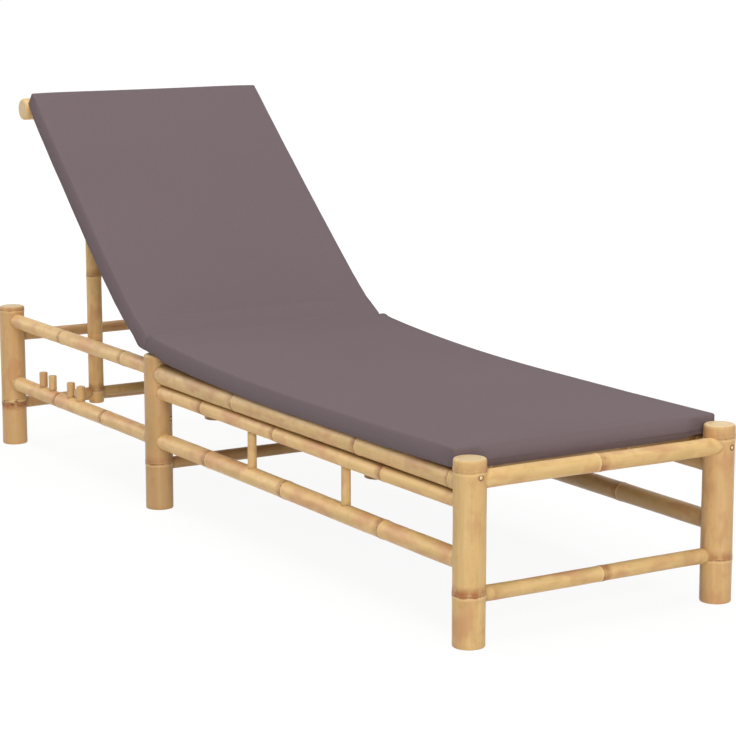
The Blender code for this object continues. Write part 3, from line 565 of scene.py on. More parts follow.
    # One bow along the pole and a double one square to it, turned by the seed
    share = add(tree, MATH, DIVIDE, (height, given["Length"]))
    first = add(tree, MATH, SINE, (add(tree, MATH, MULTIPLY, (share, math.pi)),))
    twice = add(tree, MATH, SINE, (add(tree, MATH, MULTIPLY, (share, 2.0 * math.pi)),))
    turn = add(tree, MATH, MULTIPLY, (given["Seed"], 2.4))
    aside = add(tree, MATH, MULTIPLY, (add(tree, MATH, MULTIPLY, (first, add(tree, MATH, COSINE, (turn,)))),
                                       given["Bow"]))
    along = add(tree, MATH, MULTIPLY, (add(tree, MATH, MULTIPLY, (twice, add(tree, MATH, SINE, (turn,)))),
                                       given["Bow"]))
    along = add(tree, MATH, SUBTRACT, (along, add(tree, MATH, MULTIPLY, (share, given["Rise"]))))
    offset = add(tree, XYZ, {}, {0: aside, 1: along, 2: add(tree, MATH, SUBTRACT, (lift, drop))}, 0)
    skin = add(tree, "GeometryNodeSetPosition", {}, {"Geometry": skin, "Offset": offset}, 0)
    skin = add(tree, "GeometryNodeRealizeInstances", {}, {0: skin}, 0)
    skin = add(tree, "GeometryNodeSetMaterial", {}, {"Geometry": skin, "Material": given["Material"]}, 0)
    add(tree, "NodeGroupOutput", {}, {0: skin})
    return tree


def run_tree(name, mesh, tree, values):
    """Run a tree once on a mesh and return its plain result."""
    carrier = bpy.data.objects.new(name, mesh)
    bpy.context.scene.collection.objects.link(carrier)
    modifier = carrier.modifiers.new("Build", "NODES")
    modifier.node_group = tree
    sockets = {item.name: item.identifier for item in tree.interface.items_tree
               if item.in_out == "INPUT"}
    for socket, value in values.items():
        modifier[sockets[socket]] = value
    bpy.context.view_layer.update()
    evaluated = carrier.evaluated_get(bpy.context.evaluated_depsgraph_get())
    result = bpy.data.meshes.new_from_object(evaluated)
    bpy.data.objects.remove(carrier, do_unlink=True)
    result.name = name
    return result


def node_heights(first, pitch, drift, length):
    """Heights of a pole's nodes, by the rule that the tree follows."""
    heights = []
    for k in range(math.floor(-first / pitch) - 1, math.ceil(length / pitch) + 2):
        # drift * n * n + (1 - drift) * n - k = 0, for n passed pitches
        square = (1.0 - drift) ** 2 + 4.0 * drift * k
        if abs(drift) < 1e-6:
            passed = float(k)
        elif square > 0.0:
            passed = (math.sqrt(square) - (1.0 - drift)) / (2.0 * drift)
        else:
            continue
        if 0.0 < first + passed * pitch < length:
            heights.append(first + passed * pitch)
    return heights


# Rings beside a node in metres, and across a rounded rim as shares of it
NODE_RINGS = (-0.011, -0.007, -0.004, -0.002, -0.001, 0.0, 0.001, 0.002, 0.004, 0.007, 0.011)
RIM_RINGS = (0.06, 0.2, 0.45, 1.0)
# The rings beside a node keep this far from the ends, and rings lie no closer than this
END_CLEAR, LEAST_STEP = 0.004, 0.00015


def stations(length, nodes, rims, step):
    """Heights of the pole's rings: even, and closer at nodes and rims."""
    count = max(2, math.ceil(length / step))
    heights = {round(length * k / count, 5) for k in range(count + 1)}
    for place in nodes:
        for aside in NODE_RINGS:
            if END_CLEAR < place + aside < length - END_CLEAR:
                heights.add(round(place + aside, 5))
    for rim, base, sign in ((rims[0], 0.0, 1.0), (rims[1], length, -1.0)):
        for share in RIM_RINGS:
            if rim > 0.0:
                heights.add(round(base + sign * share * rim, 5))
    ordered = sorted(heights)
    kept = [ordered[0]]
    for value in ordered[1:-1]:
        if value - kept[-1] > LEAST_STEP and ordered[-1] - value > LEAST_STEP:
            kept.append(value)
    return kept + [ordered[-1]]


def node_box(node, space):
    """Lowest and highest corner of a CAD node, in the level frame or the back's own."""
    inverse = space.inverted()
    points = [inverse @ vertex.co for vertex in frame["nodes"][node].data.vertices]
    low = Vector([min(p[k] for p in points) for k in range(3)])
    high = Vector([max(p[k] for p in points) for k in range(3)])
    return low, high


def finish_piece(name, mesh, body, nodes, sharp=30.0):
    """Make the piece's object, let it ride and let it stand for its CAD nodes."""
    mesh.shade_smooth()
    mesh.set_sharp_from_angle(angle=math.radians(sharp))
    piece = bpy.data.objects.new(name, mesh)
    bpy.context.scene.collection.objects.link(piece)
    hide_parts(*nodes)
    if body is not None:
        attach(piece, body)
    return piece


# Slot, material and depth of colour of each bamboo finish
FINISHES = {"honey": ("cane_honey", "Varnished bamboo honey", 1.0),
            "pale": ("cane_pale", "Varnished bamboo thin", 0.97),
            "brown": ("cane_brown", "Varnished bamboo dark", 0.84)}
# Rings that close a free end, as shares of its radius, so that its face can show the pole's wall
END_RINGS = (0.86, 0.7, 0.56, 0.4, 0.2)
END_RING_STEP = 0.00004
# Swellings stand out in full on poles of this radius and more
FULL_SWELL_RADIUS = 0.018


def grow_pole(node, axis, across, finish, body="base", start_on=None, end_on=None, rims=(0.0, 0.0),
              first=0.1, pitch=0.32, drift=0.0, tone=1.0, blush=0.0, seed=1, last_scar=1.0, knots=0.0,
              veins=0.0, taper=0.0, rise=0.0, touch=(0.0, 0.0)):
    """Grow the bamboo pole that stands for one CAD node, from that node's own box.

    It runs along axis, is saddle-cut on the poles that it starts or ends on, which lie square to
    across, and has its first node and its node pitch in metres.
    """
    look = bpy.context.scene.lounger.bamboo
    space = back_frame if body == "backrest" else level_frame
    slot_name, material_name, depth = FINISHES[finish]
    material = material_named(material_name, varnished_bamboo, material_name, depth)
    low, high = node_box(node, space)
    middle = 0.5 * (low + high)
    k, j = "xyz".index(axis), "xyz".index(across)
    radius = 0.5 * max(high[n] - low[n] for n in range(3) if n != k)
    ends = [low[k], high[k]]
    cuts = [(0.0, 0.0), (0.0, 0.0)]
    for which, crossed in enumerate((start_on, end_on)):
        if crossed is not None:
            crossed_low, crossed_high = node_box(crossed, space)
            centre = 0.5 * (crossed_low + crossed_high)
            ends[which] = centre[k]
            cuts[which] = (0.5 * (crossed_high[j] - crossed_low[j]), centre[j] - middle[j])
    length = ends[1] - ends[0]
    heights = stations(length, node_heights(first, pitch, drift, length), rims, look.step)
    insets = [1.0] * len(heights)
    for step, share in enumerate(END_RINGS, 1):
        if end_on is None:
            heights.append(length + END_RING_STEP * step)
            insets.append(share)
        if start_on is None:
            heights.insert(0, -END_RING_STEP * step)
            insets.insert(0, share)
    line = bpy.data.meshes.new(node)
    line.from_pydata([(0.0, 0.0, h) for h in heights], [(n, n + 1) for n in range(len(heights) - 1)], [])
    line.attributes.new("inset", "FLOAT", "POINT").data.foreach_set("value", insets)
    values = {
        "Radius": radius, "Length": length, "Start Cut Radius": cuts[0][0], "Start Cut Offset": cuts[0][1],
        "End Cut Radius": cuts[1][0], "End Cut Offset": cuts[1][1], "Joint Gap": look.gap,
        "Start Rim": rims[0], "End Rim": rims[1], "First Node": first, "Node Pitch": pitch,
        "Node Drift": drift, "Swell": look.swell * min(1.0, radius / FULL_SWELL_RADIUS),
        "Groove": look.groove,
        "Bow": look.bow * min(1.0, length), "Tone": tone, "Blush": blush, "Last Scar": last_scar,
        "Knots": knots, "Veins": veins, "Taper": taper, "Rise": rise, "Touch Plus": touch[0],
        "Touch Minus": touch[1], "Seed": seed, "Sides": look.sides, "Material": material,
    }
    tree = bpy.data.node_groups.get("Bamboo pole") or pole_tree()
    mesh = run_tree(node, line, tree, values)
    start = middle.copy()
    start[k] = ends[0]
    side = AXES[axis].cross(AXES[across])
    turn = Matrix((AXES[across], side, AXES[axis])).transposed().to_4x4()
    mesh.transform(space @ Matrix.Translation(start) @ turn)
    finish_piece(f"bamboo_{node}", mesh, body, [node])


def material_named(name, maker, *values):
    """Return a material, made on first use."""
    return bpy.data.materials.get(name) or maker(*values)


class LOUNGER_OT_legs(bpy.types.Operator):
    """Six upright legs with rounded tops"""

    bl_idname = "lounger.legs"
    bl_label = "Legs"

    def execute(self, context):
        # place, side, first node, pitch, tone, blush, last scar, knots, veins
        looks = (("foot", "left", 0.0925, 0.216, 0.9, 0.0, 0.4, 0.0, 0.0),
                 ("foot", "right", 0.082, 0.225, 0.98, 0.28, 0.6, 0.0, 1.0),
                 ("mid", "left", 0.098, 0.30, 0.83, 0.35, 0.0, 0.0, 0.8),
                 ("mid", "right", 0.094, 0.22, 0.95, 0.2, 0.3, 0.0, 0.3),
                 ("head", "left", 0.101, 0.221, 0.89, 0.35, 0.5, 0.9, 0.0),
                 ("head", "right", 0.108, 0.214, 0.9, 0.1, 0.5, 0.0, 0.3))
        for number, (place, side, first, pitch, tone, blush, scar, knots, veins) in enumerate(looks):
            grow_pole(f"leg_{place}_{side}", "z", "x", "honey", rims=(0.002, 0.0045), first=first,
                      pitch=pitch, tone=tone, blush=blush, seed=3 + number, last_scar=scar, knots=knots,
                      veins=veins)
        return {"FINISHED"}


class LOUNGER_OT_side_rails(bpy.types.Operator):
    """Rails along the sides, saddle-cut on the legs"""

    bl_idname = "lounger.side_rails"
    bl_label = "Side rails"

    def execute(self, context):
        # name, near leg, far leg, first node, pitch, drift, tone, taper and rise towards the far leg
        rails = (
            ("seat_rail", "foot", "mid", 0.033, 0.315, -0.131, 0.97, 0.0030, 0.0052),
            # The under rail is made lighter as painted light, against the shade it partly lies in
            ("under_rail", "foot", "mid", 0.265, 0.390, 0.167, 1.12, 0.0011, 0.0011),
            ("foot_lower_rail", "foot", "mid", 0.271, 0.354, 0.072, 1.08, 0.0, 0.0),
            ("head_upper_rail", "mid", "head", 0.151, 0.316, 0.0, 1.12, 0.0, 0.0),
            ("head_lower_rail", "mid", "head", 0.250, 0.244, 0.0, 1.06, 0.0, 0.0),
        )
        # Painted shade below and above, where a rail touches its twin or lies under the cushion
        touch = {"seat_rail": (0.65, 0.4), "under_rail": (0.0, 0.6)}
        for number, (name, near, far, first, pitch, drift, tone, taper, rise) in enumerate(rails):
            for side, sign in SIDES:
                # The right side lies in the cushion's shade, so its rails get painted shade: a little darker
                # and redder
                far_side = sign > 0
                grow_pole(f"{name}_{side}", "y", "x", "honey", start_on=f"leg_{near}_{side}",
                          end_on=f"leg_{far}_{side}", first=first + 0.01 * far_side, pitch=pitch,
                          drift=drift, tone=tone * (0.72 if far_side else 1.0),
                          blush=0.15 if far_side else 0.0, seed=20 + 2 * number + far_side,
                          taper=taper, rise=rise, touch=touch.get(name, (0.0, 0.0)))
        return {"FINISHED"}


class LOUNGER_OT_cross_rails(bpy.types.Operator):
    """Rails across between each pair of legs"""

    bl_idname = "lounger.cross_rails"
    bl_label = "Cross rails"

    def execute(self, context):
        # name, first node, pitch
        rails = (("foot_upper", 0.259, 0.41), ("foot_lower", 0.278, 0.36), ("mid_upper", 0.2, 0.3),
                 ("mid_lower", 0.12, 0.34), ("head_upper", 0.09, 0.33), ("head_lower", 0.15, 0.31))
        for number, (name, first, pitch) in enumerate(rails):
            place = name.split("_")[0]
            grow_pole(f"{name}_cross", "x", "y", "pale", start_on=f"leg_{place}_left",
                      end_on=f"leg_{place}_right", first=first, pitch=pitch,
                      tone=0.95 if place == "foot" else 0.9,
                      blush=0.0 if place == "foot" else 0.35, seed=40 + number)
        return {"FINISHED"}


class LOUNGER_OT_spindles(bpy.types.Operator):
    """Short uprights between the rails, and the pegs that make the notches"""

    bl_idname = "lounger.spindles"
    bl_label = "Spindles and pegs"

    def execute(self, context):
        # tone and blush of each peg, from the mid leg to the head leg
        pegs = ((0.98, 0.6), (0.92, 0.0), (0.88, 0.25), (0.95, 0.3))
        for side, sign in SIDES:
            for number, place in enumerate(("foot", "mid")):
                grow_pole(f"spindle_{place}_{side}", "z", "x", "honey", first=0.4, pitch=0.9,
                          start_on=f"foot_lower_rail_{side}", end_on=f"under_rail_{side}", tone=0.97,
                          seed=50 + number + 2 * (sign > 0))
            for number, (tone, blush) in enumerate(pegs, 1):
                grow_pole(f"peg_{number}_{side}", "z", "x", "honey", rims=(0.0, 0.0015), first=0.4,
                          pitch=0.9, start_on=f"head_lower_rail_{side}", tone=tone, blush=blush,
                          seed=60 + number + 5 * (sign > 0))
        return {"FINISHED"}


class LOUNGER_OT_slats(bpy.types.Operator):
    """Round slats that carry the cushion on the seat and on the back"""

    bl_idname = "lounger.slats"
    bl_label = "Slats"

    def execute(self, context):
        for number in range(1, 7):
            # The seat slats are darkened as painted shade, where they show in the gap under the cushion
            grow_pole(f"seat_slat_{number}", "x", "z", "pale", start_on="seat_rail_left",
                      end_on="seat_rail_right", first=0.04 + 0.05 * number, pitch=0.29, tone=0.62,
                      seed=80 + number)
        for number in range(1, 6):
            grow_pole(f"back_slat_{number}", "x", "z", "pale", "backrest", start_on="back_stile_left",
                      end_on="back_stile_right", first=0.03 + 0.04 * number, pitch=0.27, tone=0.95,
                      seed=90 + number)
        return {"FINISHED"}


class LOUNGER_OT_back(bpy.types.Operator):
    """The back's stiles, top bar and lower rail"""

    bl_idname = "lounger.back"
    bl_label = "Back frame"

    def execute(self, context):
        for side, sign in SIDES:
            grow_pole(f"back_stile_{side}", "y", "z", "brown", "backrest", start_on="back_lower_rail",
                      end_on="back_top_bar", first=0.17 + 0.02 * sign, pitch=0.31, seed=100 + sign)
        grow_pole("back_top_bar", "x", "z", "honey", "backrest", rims=(0.005, 0.005), first=0.16,
                  pitch=0.24, seed=104)
        grow_pole("back_lower_rail", "x", "z", "pale", "backrest", rims=(0.0015, 0.0015), first=0.12,
                  pitch=0.27, tone=0.95, seed=105)
        return {"FINISHED"}


class LOUNGER_OT_prop(bpy.types.Operator):
    """The prop: two posts with rounded heads and a foot bar"""

    bl_idname = "lounger.prop"
    bl_label = "Prop"

    def execute(self, context):
        for side, sign in SIDES:
            post = f"prop_post_{side}"
            # The posts are made lighter as painted light, against the shade they lie in under the back
            grow_pole(post, "z", "x", "brown", "prop", rims=(0.003, 0.0165), first=0.028, pitch=0.262,
                      tone=1.28, seed=110 + sign)
            ends = ({"start_on": post, "rims": (0.0, 0.003)} if sign > 0 else
                    {"end_on": post, "rims": (0.003, 0.0)})
            grow_pole(f"prop_foot_end_{side}", "x", "y", "brown", "prop", first=0.5, pitch=1.2,
                      seed=114 + sign, **ends)
        grow_pole("prop_foot_bar", "x", "y", "brown", "prop", start_on="prop_post_left",
                  end_on="prop_post_right", first=0.12, pitch=0.26, seed=118)
        return {"FINISHED"}


class LOUNGER_OT_pins(bpy.types.Operator):
    """Hidden dowel pins keep their CAD shape and take a turned wood finish"""

    bl_idname = "lounger.pins"
    bl_label = "Pins"

    def execute(self, context):
        material = material_named("Turned beech dowel", turned_dowel)
        for kind in ("hinge_pin", "prop_pin"):
            for side, _ in SIDES:
                mesh = frame["nodes"][f"{kind}_{side}"].data
                mesh.materials.clear()
                mesh.materials.append(material)
        return {"FINISHED"}


# The cushion's upper face: its foot end, the fold, the end of the seat's rows and the seat's height
FOOT_Y, FOLD_Y, SEAT_END_Y, SEAT_TOP = -0.941, 0.2113, 0.2235, 0.3388
# Reach up the back from the hinge to the end of the lean over the fold, and to the head end
LEAN_REACH, HEAD_REACH = 0.127, 0.8125
STILE_RADIUS = 0.017
REST_GAP = 0.0003
# The section is this much narrower than the cushion on each side, and its sides fill out past it
SIDE_EASE = 0.0016
FOOT_ROLL, HEAD_ROLL = 0.005, 0.004
MID_LEG_CLEAR_Z = 0.3305
# How the back's free edges hang behind the stiles, by distance from the hinge
EDGE_DROOP = ((0.118, 0.0), (0.145, 0.0060), (0.18, 0.0100), (0.22, 0.0128), (0.3, 0.014), (0.38, 0.0135),
              (0.45, 0.0118), (0.6, 0.0076), (0.7, 0.0040), (0.78, 0.0010))
# How much wider the cover gets, by y on the seat and by reach on the back
SEAT_FULLER = ((FOOT_Y, 0.0), (-0.7, 0.0022), (0.1, 0.0028), (FOLD_Y, 0.0036))
BACK_FULLER = ((0.1, 0.0036), (0.3, 0.0042), (0.6, 0.0030), (HEAD_REACH, 0.0022))
# How far the seat's lower edges sink beside the rails, by y
SEAT_SAG = ((-0.9, 0.0), (-0.6, 0.0012), (-0.1, 0.0022), (0.05, 0.0040), (0.13, 0.0055), (0.165, 0.001),
            (0.175, 0.0))
# The rows lie closer between this place on the seat and this reach up the back
FINE_FROM_Y, FINE_TO_REACH = 0.175, 0.165
SEAT_STEP, FOLD_STEP, LEAN_STEP, BACK_STEP = 0.008, 0.0016, 0.0025, 0.0085
BEND_ROWS = 20
# The upper face fills out by up to this much at the head end, from this reach on
HEAD_FULLER, HEAD_FULLER_FROM = 0.0022, 0.6
# Half the clear width between the legs, and the run over which the ends fill out beside it
LEG_CLEAR_X, LEG_CLEAR_RUN = 0.238, 0.02
END_BULGE = 0.0075
# The cover's free edges, over this much of the width, tuck in at the fold and puff up before it
EDGE_WIDTH, EDGE_RUN = 0.05, 0.045
TUCK_BEFORE, TUCK_AFTER, TUCK_DEPTH, TUCK_IN = 0.009, 0.0135, 0.0056, 0.0016
CREASE_WIDTH, CREASE_IN = 0.0024, 0.0045
PUFF_PLACE, PUFF_WIDTH, PUFF_HEIGHT, SEAT_EDGE_LIFT = 0.018, 0.010, 0.0026, 0.0011
# The sides stop filling out over this much before each end
CORNER_REACH = 0.06
# Where the back's upper and under face start to hang, and where the seat starts to sag
UPPER_HANG_X, UNDER_HANG_X = 0.17, 0.2385
SAG_X, SAG_RUN = 0.25, 0.035
FOOT_HANG, FOOT_HANG_REACH = 0.0055, 0.024
CLOTH_FRAMES = 20


def cushion_line(y):
    """Height of the cushion's upper face at y, before the back begins."""
    # 2.6 mm higher at the foot end, falling over 250 mm, and 30 mm higher just before the fold
    rise = 0.0026 * max(0.0, 1.0 - (y - FOOT_Y) / 0.25)
    lift = 0.0301 * (max(0.0, y + 0.45) / 0.665) ** 2.3
    return SEAT_TOP + rise + lift


def between_legs(x):
    """1 where the cushion's end passes between the legs, falling to 0 at them."""
    return min(1.0, max(0.0, (LEG_CLEAR_X - abs(x)) / LEG_CLEAR_RUN))


def curve_at(table, value):
    """Read a smooth value from a table of (place, value) points."""
    if value <= table[0][0]:
        return table[0][1]
    for (x0, y0), (x1, y1) in zip(table, table[1:]):
        if value <= x1:
            t = (value - x0) / (x1 - x0)
            return y0 + (y1 - y0) * t * t * (3 - 2 * t)
    return table[-1][1]


def cushion_faces():
    """Matching (y, z) points of the upper and under face, foot to head, square under the fold."""
    thickness = bpy.context.scene.lounger.cushion.thickness
    face = STILE_RADIUS + REST_GAP + thickness
    rise = math.tan(back_angle)

    def on_back(reach, height):
        """The (y, z) of a place this far up the back and this high over its plane."""
        place = hinge + UP_BACK * reach + OFF_BACK * height
        return place.y, place.z

    def spread(low, high, step):
        """Even places from just past low up to high, at most a step apart."""
        count = math.ceil((high - low) / step)
        return [low + (high - low) * k / count for k in range(1, count + 1)]

    seat_y = ([FOOT_Y] + spread(FOOT_Y, FINE_FROM_Y, SEAT_STEP)
              + spread(FINE_FROM_Y, SEAT_END_Y, FOLD_STEP))
    seat = [(y, cushion_line(y)) for y in seat_y]
    # The lower back leans out over the fold before it joins the flat of the back
    join = on_back(LEAN_REACH, face)
    bend = [tuple(p + (q - p) * k / BEND_ROWS for p, q in zip(seat[-1], join))
            for k in range(1, BEND_ROWS + 1)]
    reaches = (spread(LEAN_REACH, FINE_TO_REACH, LEAN_STEP)
               + spread(FINE_TO_REACH, HEAD_REACH, BACK_STEP))
    back = [on_back(reach, face + HEAD_FULLER * max(0.0, (reach - HEAD_FULLER_FROM) / 0.21) ** 2)
            for reach in reaches]
    upper = seat + bend + back
    first, last = len(seat) - 1, len(seat) + len(bend) - 1
    for _ in range(3):
        inner = upper[first - 6:last + 8]
        upper[first - 5:last + 7] = [tuple((p + 2 * q + r) / 4 for p, q, r in zip(*trio))
                                     for trio in zip(inner, inner[1:], inner[2:])]

    under = []
    for k, (y, z) in enumerate(upper):
        before, after = upper[max(k - 1, 0)], upper[min(k + 1, len(upper) - 1)]
        run = math.hypot(after[0] - before[0], after[1] - before[1])
        aside, up = -(after[1] - before[1]) / run, (after[0] - before[0]) / run
        if k == 0:
            aside, up = 0.0, 1.0
        under.append([y - thickness * aside, z - thickness * up])
    # The under face meets its own line again at the square corner of the fold
    first -= 3
    last += 4
    start, end = under[first], under[last]
    slope = (cushion_line(0.21) - cushion_line(0.2)) / 0.01
    y = (end[1] - start[1] + slope * start[0] - rise * end[0]) / (slope - rise)
    corner = (y, start[1] + slope * (y - start[0]))
    count = last - first
    turn_at = round(0.45 * count)
    for k in range(1, count):
        near, far, t = ((start, corner, k / turn_at) if k <= turn_at else
                        (corner, end, (k - turn_at) / (count - turn_at)))
        under[first + k] = [p + (q - p) * t for p, q in zip(near, far)]
    for _ in range(2):
        under[first + 1:last] = [[(p + 2 * q + r) / 4 for p, q, r in zip(*trio)]
                                 for trio in zip(under[first:last - 1], under[first + 1:last],
                                                 under[first + 2:])]
    for point in under:
        # Clear of the tops of the middle legs
        if abs(point[0] - hinge.y) < 0.04:
            point[1] = max(point[1], MID_LEG_CLEAR_Z)
    return upper, under


def cushion_section(half, thickness, crown, bulge):
    """Cross-section as (x, height): flat below, sides that fill out, a tight top edge, soft crown."""
    low_in, widest, edge, lean = 0.004, 0.26 * thickness, 0.003, math.radians(38.0)
    right = [((half - low_in) * k / 26, 0.0) for k in range(27)]
    for k in range(1, 7):
        turn = math.radians(90.0 * k / 6)
        right.append((half - low_in + (low_in + bulge) * math.sin(turn), widest * (1 - math.cos(turn))))
    seam = thickness - edge * (1 - math.sin(lean))
    right += [(half + bulge * (1 - (k / 6) ** 2), widest + (seam - widest) * k / 6) for k in range(1, 7)]
    for k in range(1, 4):
        turn = lean + (math.radians(90.0) - lean) * k / 3
        right.append((half - edge * (math.cos(lean) - math.cos(turn)),
                      thickness - edge * (1 - math.sin(turn))))
    flat = half - edge * math.cos(lean)
    for k in range(1, 27):
        x = flat * (1 - k / 26)
        right.append((x, thickness + crown * (1 - (x / flat) ** 6)))
    left = [(-x, h) for x, h in reversed(right[1:-1])]
    return right + left


def end_rows(near, far, roll, lean):
    """Points close together from near towards far, for the rolled edge at an end of the cushion."""
    run = math.hypot(far[0] - near[0], far[1] - near[1])
    turns = [lean + (math.radians(90.0) - lean) * k / 5 for k in range(6)]
    return [tuple(a + (b - a) * roll * (math.cos(lean) - math.cos(turn)) / run for a, b in zip(near, far))
            for turn in turns]


def skin_between(body, lower, upper):
    """Faces between two rings of the cover."""
    count = len(lower)
    for k in range(count):
        following = (k + 1) % count
        body.faces.new((lower[k], lower[following], upper[following], upper[k]))


def close_end(body, edge_row, outward):
    """Close an end of the cover with rings that stand out a little between the legs."""
    centre = edge_row[0].co.lerp(edge_row[len(edge_row) // 2].co, 0.3)
    outer = edge_row
    for share in (0.84, 0.68, 0.52, 0.36, 0.2, 0.04):
        ring = []
        for corner in edge_row:
            inner = corner.co.lerp(centre, 1.0 - share)
            inner.x = corner.co.x * (1.0 - (1.0 - share) * 0.06)
            push = END_BULGE * (1.0 - share * share) * between_legs(inner.x)
            ring.append(body.verts.new(inner + outward * push))
        skin_between(body, outer, ring)
        outer = ring
    body.faces.new(outer)


def cushion_mesh():
    """The whole cushion as one closed skin, tucked in at the fold, with edges that hang a little."""
    look = bpy.context.scene.lounger.cushion
    upper, under = cushion_faces()
    section = cushion_section(look.half_width - SIDE_EASE, look.thickness, look.crown, look.bulge)
    lean = math.radians(32.0)
    upper, under = (end_rows(face[0], face[2], FOOT_ROLL, lean) + face[2:-1]
                    + end_rows(face[-1], face[-2], HEAD_ROLL, lean)[::-1] for face in (upper, under))
    lengths = [0.0]
    for a, b in zip(upper, upper[1:]):
        lengths.append(lengths[-1] + math.hypot(b[0] - a[0], b[1] - a[1]))
    total = lengths[-1]
    fold = next(n for n, point in enumerate(upper) if point[0] > FOLD_Y)
    body = bmesh.new()
    rows = []
    for top, low, distance in zip(upper, under, lengths):
        roll = FOOT_ROLL if distance < 0.5 * total else HEAD_ROLL
        from_end = min(distance, total - distance)
        loss = 0.0
        if from_end < roll * math.cos(lean):
            loss = 1.0 - math.sqrt(1.0 - (math.cos(lean) - from_end / roll) ** 2)
        reach = (Vector((0.0, *top)) - hinge).dot(UP_BACK)
        on_seat = distance < lengths[fold]
        droop = 0.0 if on_seat else curve_at(EDGE_DROOP, reach)
        # The sides fill out towards the fold and pull in at the head and the foot
        fuller = curve_at(SEAT_FULLER, top[0]) if on_seat else curve_at(BACK_FULLER, reach)
        sag = curve_at(SEAT_SAG, top[0]) if on_seat else 0.0
        wide = 1.0 + (fuller - 0.0005 * loss) / look.half_width
        # The cover is drawn in at the fold and puffs up just before it
        from_fold = distance - lengths[fold]
        tuck = 0.0
        if -TUCK_BEFORE < from_fold <= 0.0:
            tuck = (1.0 + from_fold / TUCK_BEFORE) ** 2
        elif 0.0 < from_fold < TUCK_AFTER:
            tuck = 1.0 - from_fold / TUCK_AFTER
        crease = math.exp(-(from_fold / CREASE_WIDTH) ** 2)
        puff = math.exp(-((from_fold + PUFF_PLACE) / PUFF_WIDTH) ** 2)
        corner_loss = max(0.0, 1.0 - from_end / CORNER_REACH) ** 1.5
        row = []
        for x, height in section:
            share = height / look.thickness - 0.5
            share *= 1.0 - loss * 2.0 * (roll if share > 0.0 else 0.006) / look.thickness
            full = max(0.0, abs(x) - look.half_width + SIDE_EASE)
            x = math.copysign(abs(x) - full * corner_loss, x)
            point = Vector((x * wide, 0.5 * (top[0] + low[0]) + (top[0] - low[0]) * share,
                            0.5 * (top[1] + low[1]) + (top[1] - low[1]) * share))
            edge = min(1.0, max(0.0, (abs(x) - look.half_width + EDGE_WIDTH) / EDGE_RUN)) ** 2
            upness = min(1.0, max(0.0, share + 0.5))
            lift = SEAT_EDGE_LIFT if on_seat else 0.0
            point.z += edge * upness * (PUFF_HEIGHT * puff - TUCK_DEPTH * tuck + lift)
            point.x -= math.copysign(edge * (TUCK_IN * tuck + CREASE_IN * crease), x) if x else 0.0
            # The upper face starts to droop over the stile, the under face only past the post
            start = UPPER_HANG_X if share > 0.3 else UNDER_HANG_X
            hang = max(0.0, (abs(x) - start) / (look.half_width - start)) ** 1.5
            point -= OFF_BACK * (droop * min(1.0, hang) * (1.0 - 0.45 * upness))
            point.z -= sag * max(0.0, (abs(x) - SAG_X) / SAG_RUN) * (1.0 - upness)
            if on_seat:
                # The foot's lower edge hangs over the cross rail
                near_foot = max(0.0, 1.0 - from_end / FOOT_HANG_REACH)
                point.z -= FOOT_HANG * between_legs(x) * near_foot * (1.0 - upness)
            row.append(body.verts.new(point))
        rows.append(row)
    for lower, following in zip(rows, rows[1:]):
        skin_between(body, lower, following)
    close_end(body, rows[0], Vector((0.0, -1.0, 0.0)))
    close_end(body, rows[-1], UP_BACK)
    bmesh.ops.recalc_face_normals(body, faces=body.faces)
    mesh = bpy.data.meshes.new("cushion")
    body.to_mesh(mesh)
    body.free()
    return mesh


def swell(mesh):
    """Let the cover swell with Cloth under pressure; every point moves by the cap at most."""
    look = bpy.context.scene.lounger.cushion
    scene = bpy.context.scene
    carrier = bpy.data.objects.new("cushion_cover", mesh)
    scene.collection.objects.link(carrier)
    # The under face rests on the slats, and the sides and ends are boxed, so these are held
    held = carrier.vertex_groups.new(name="held")
    resting = {corner for face in mesh.polygons for corner in face.vertices
               if face.normal.z < -0.5 or abs(face.normal.x) > 0.25 or len(face.vertices) > 4}
    held.add(list(resting), 1.0, "REPLACE")
    modifier = carrier.modifiers.new("Swell", "CLOTH")
    settings = modifier.settings
    settings.quality = 4
    settings.use_pressure = True
    settings.uniform_pressure_force = look.pressure
    settings.vertex_group_mass = held.name
    settings.effector_weights.gravity = 0.0
    modifier.collision_settings.use_collision = False
    modifier.point_cache.frame_start = 1
    modifier.point_cache.frame_end = CLOTH_FRAMES
    for number in range(1, CLOTH_FRAMES + 1):
        scene.frame_set(number)
    evaluated = carrier.evaluated_get(bpy.context.evaluated_depsgraph_get())
    blown = bpy.data.meshes.new_from_object(evaluated)
    for point, moved in zip(mesh.vertices, blown.vertices):
        step = moved.co - point.co
        if step.length > 0.0:
            point.co += step * (look.cap * math.tanh(step.length / look.cap) / step.length)
    bpy.data.objects.remove(carrier, do_unlink=True)
    bpy.data.meshes.remove(blown)
    scene.frame_set(1)


class LOUNGER_OT_cushion(bpy.types.Operator):
    """One padded cushion that folds at the hinge"""

    bl_idname = "lounger.cushion"
    bl_label = "Cushion"

    def execute(self, context):
        mesh = cushion_mesh()
        swell(mesh)
        mesh.materials.append(material_named("Polyester canvas plum grey", woven_cover))
        piece = finish_piece("cushion", mesh, None, ["seat_cushion", "back_cushion"], 60.0)
        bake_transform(piece)
        return {"FINISHED"}


# Height of a screw's domed head as a share of its radius, the size of its slot, and its rim's bead
HEAD_DOME = 0.45
SLOT_SIZE = (0.0042, 0.0011, 0.0022)
BEAD_RADIUS = 0.0011


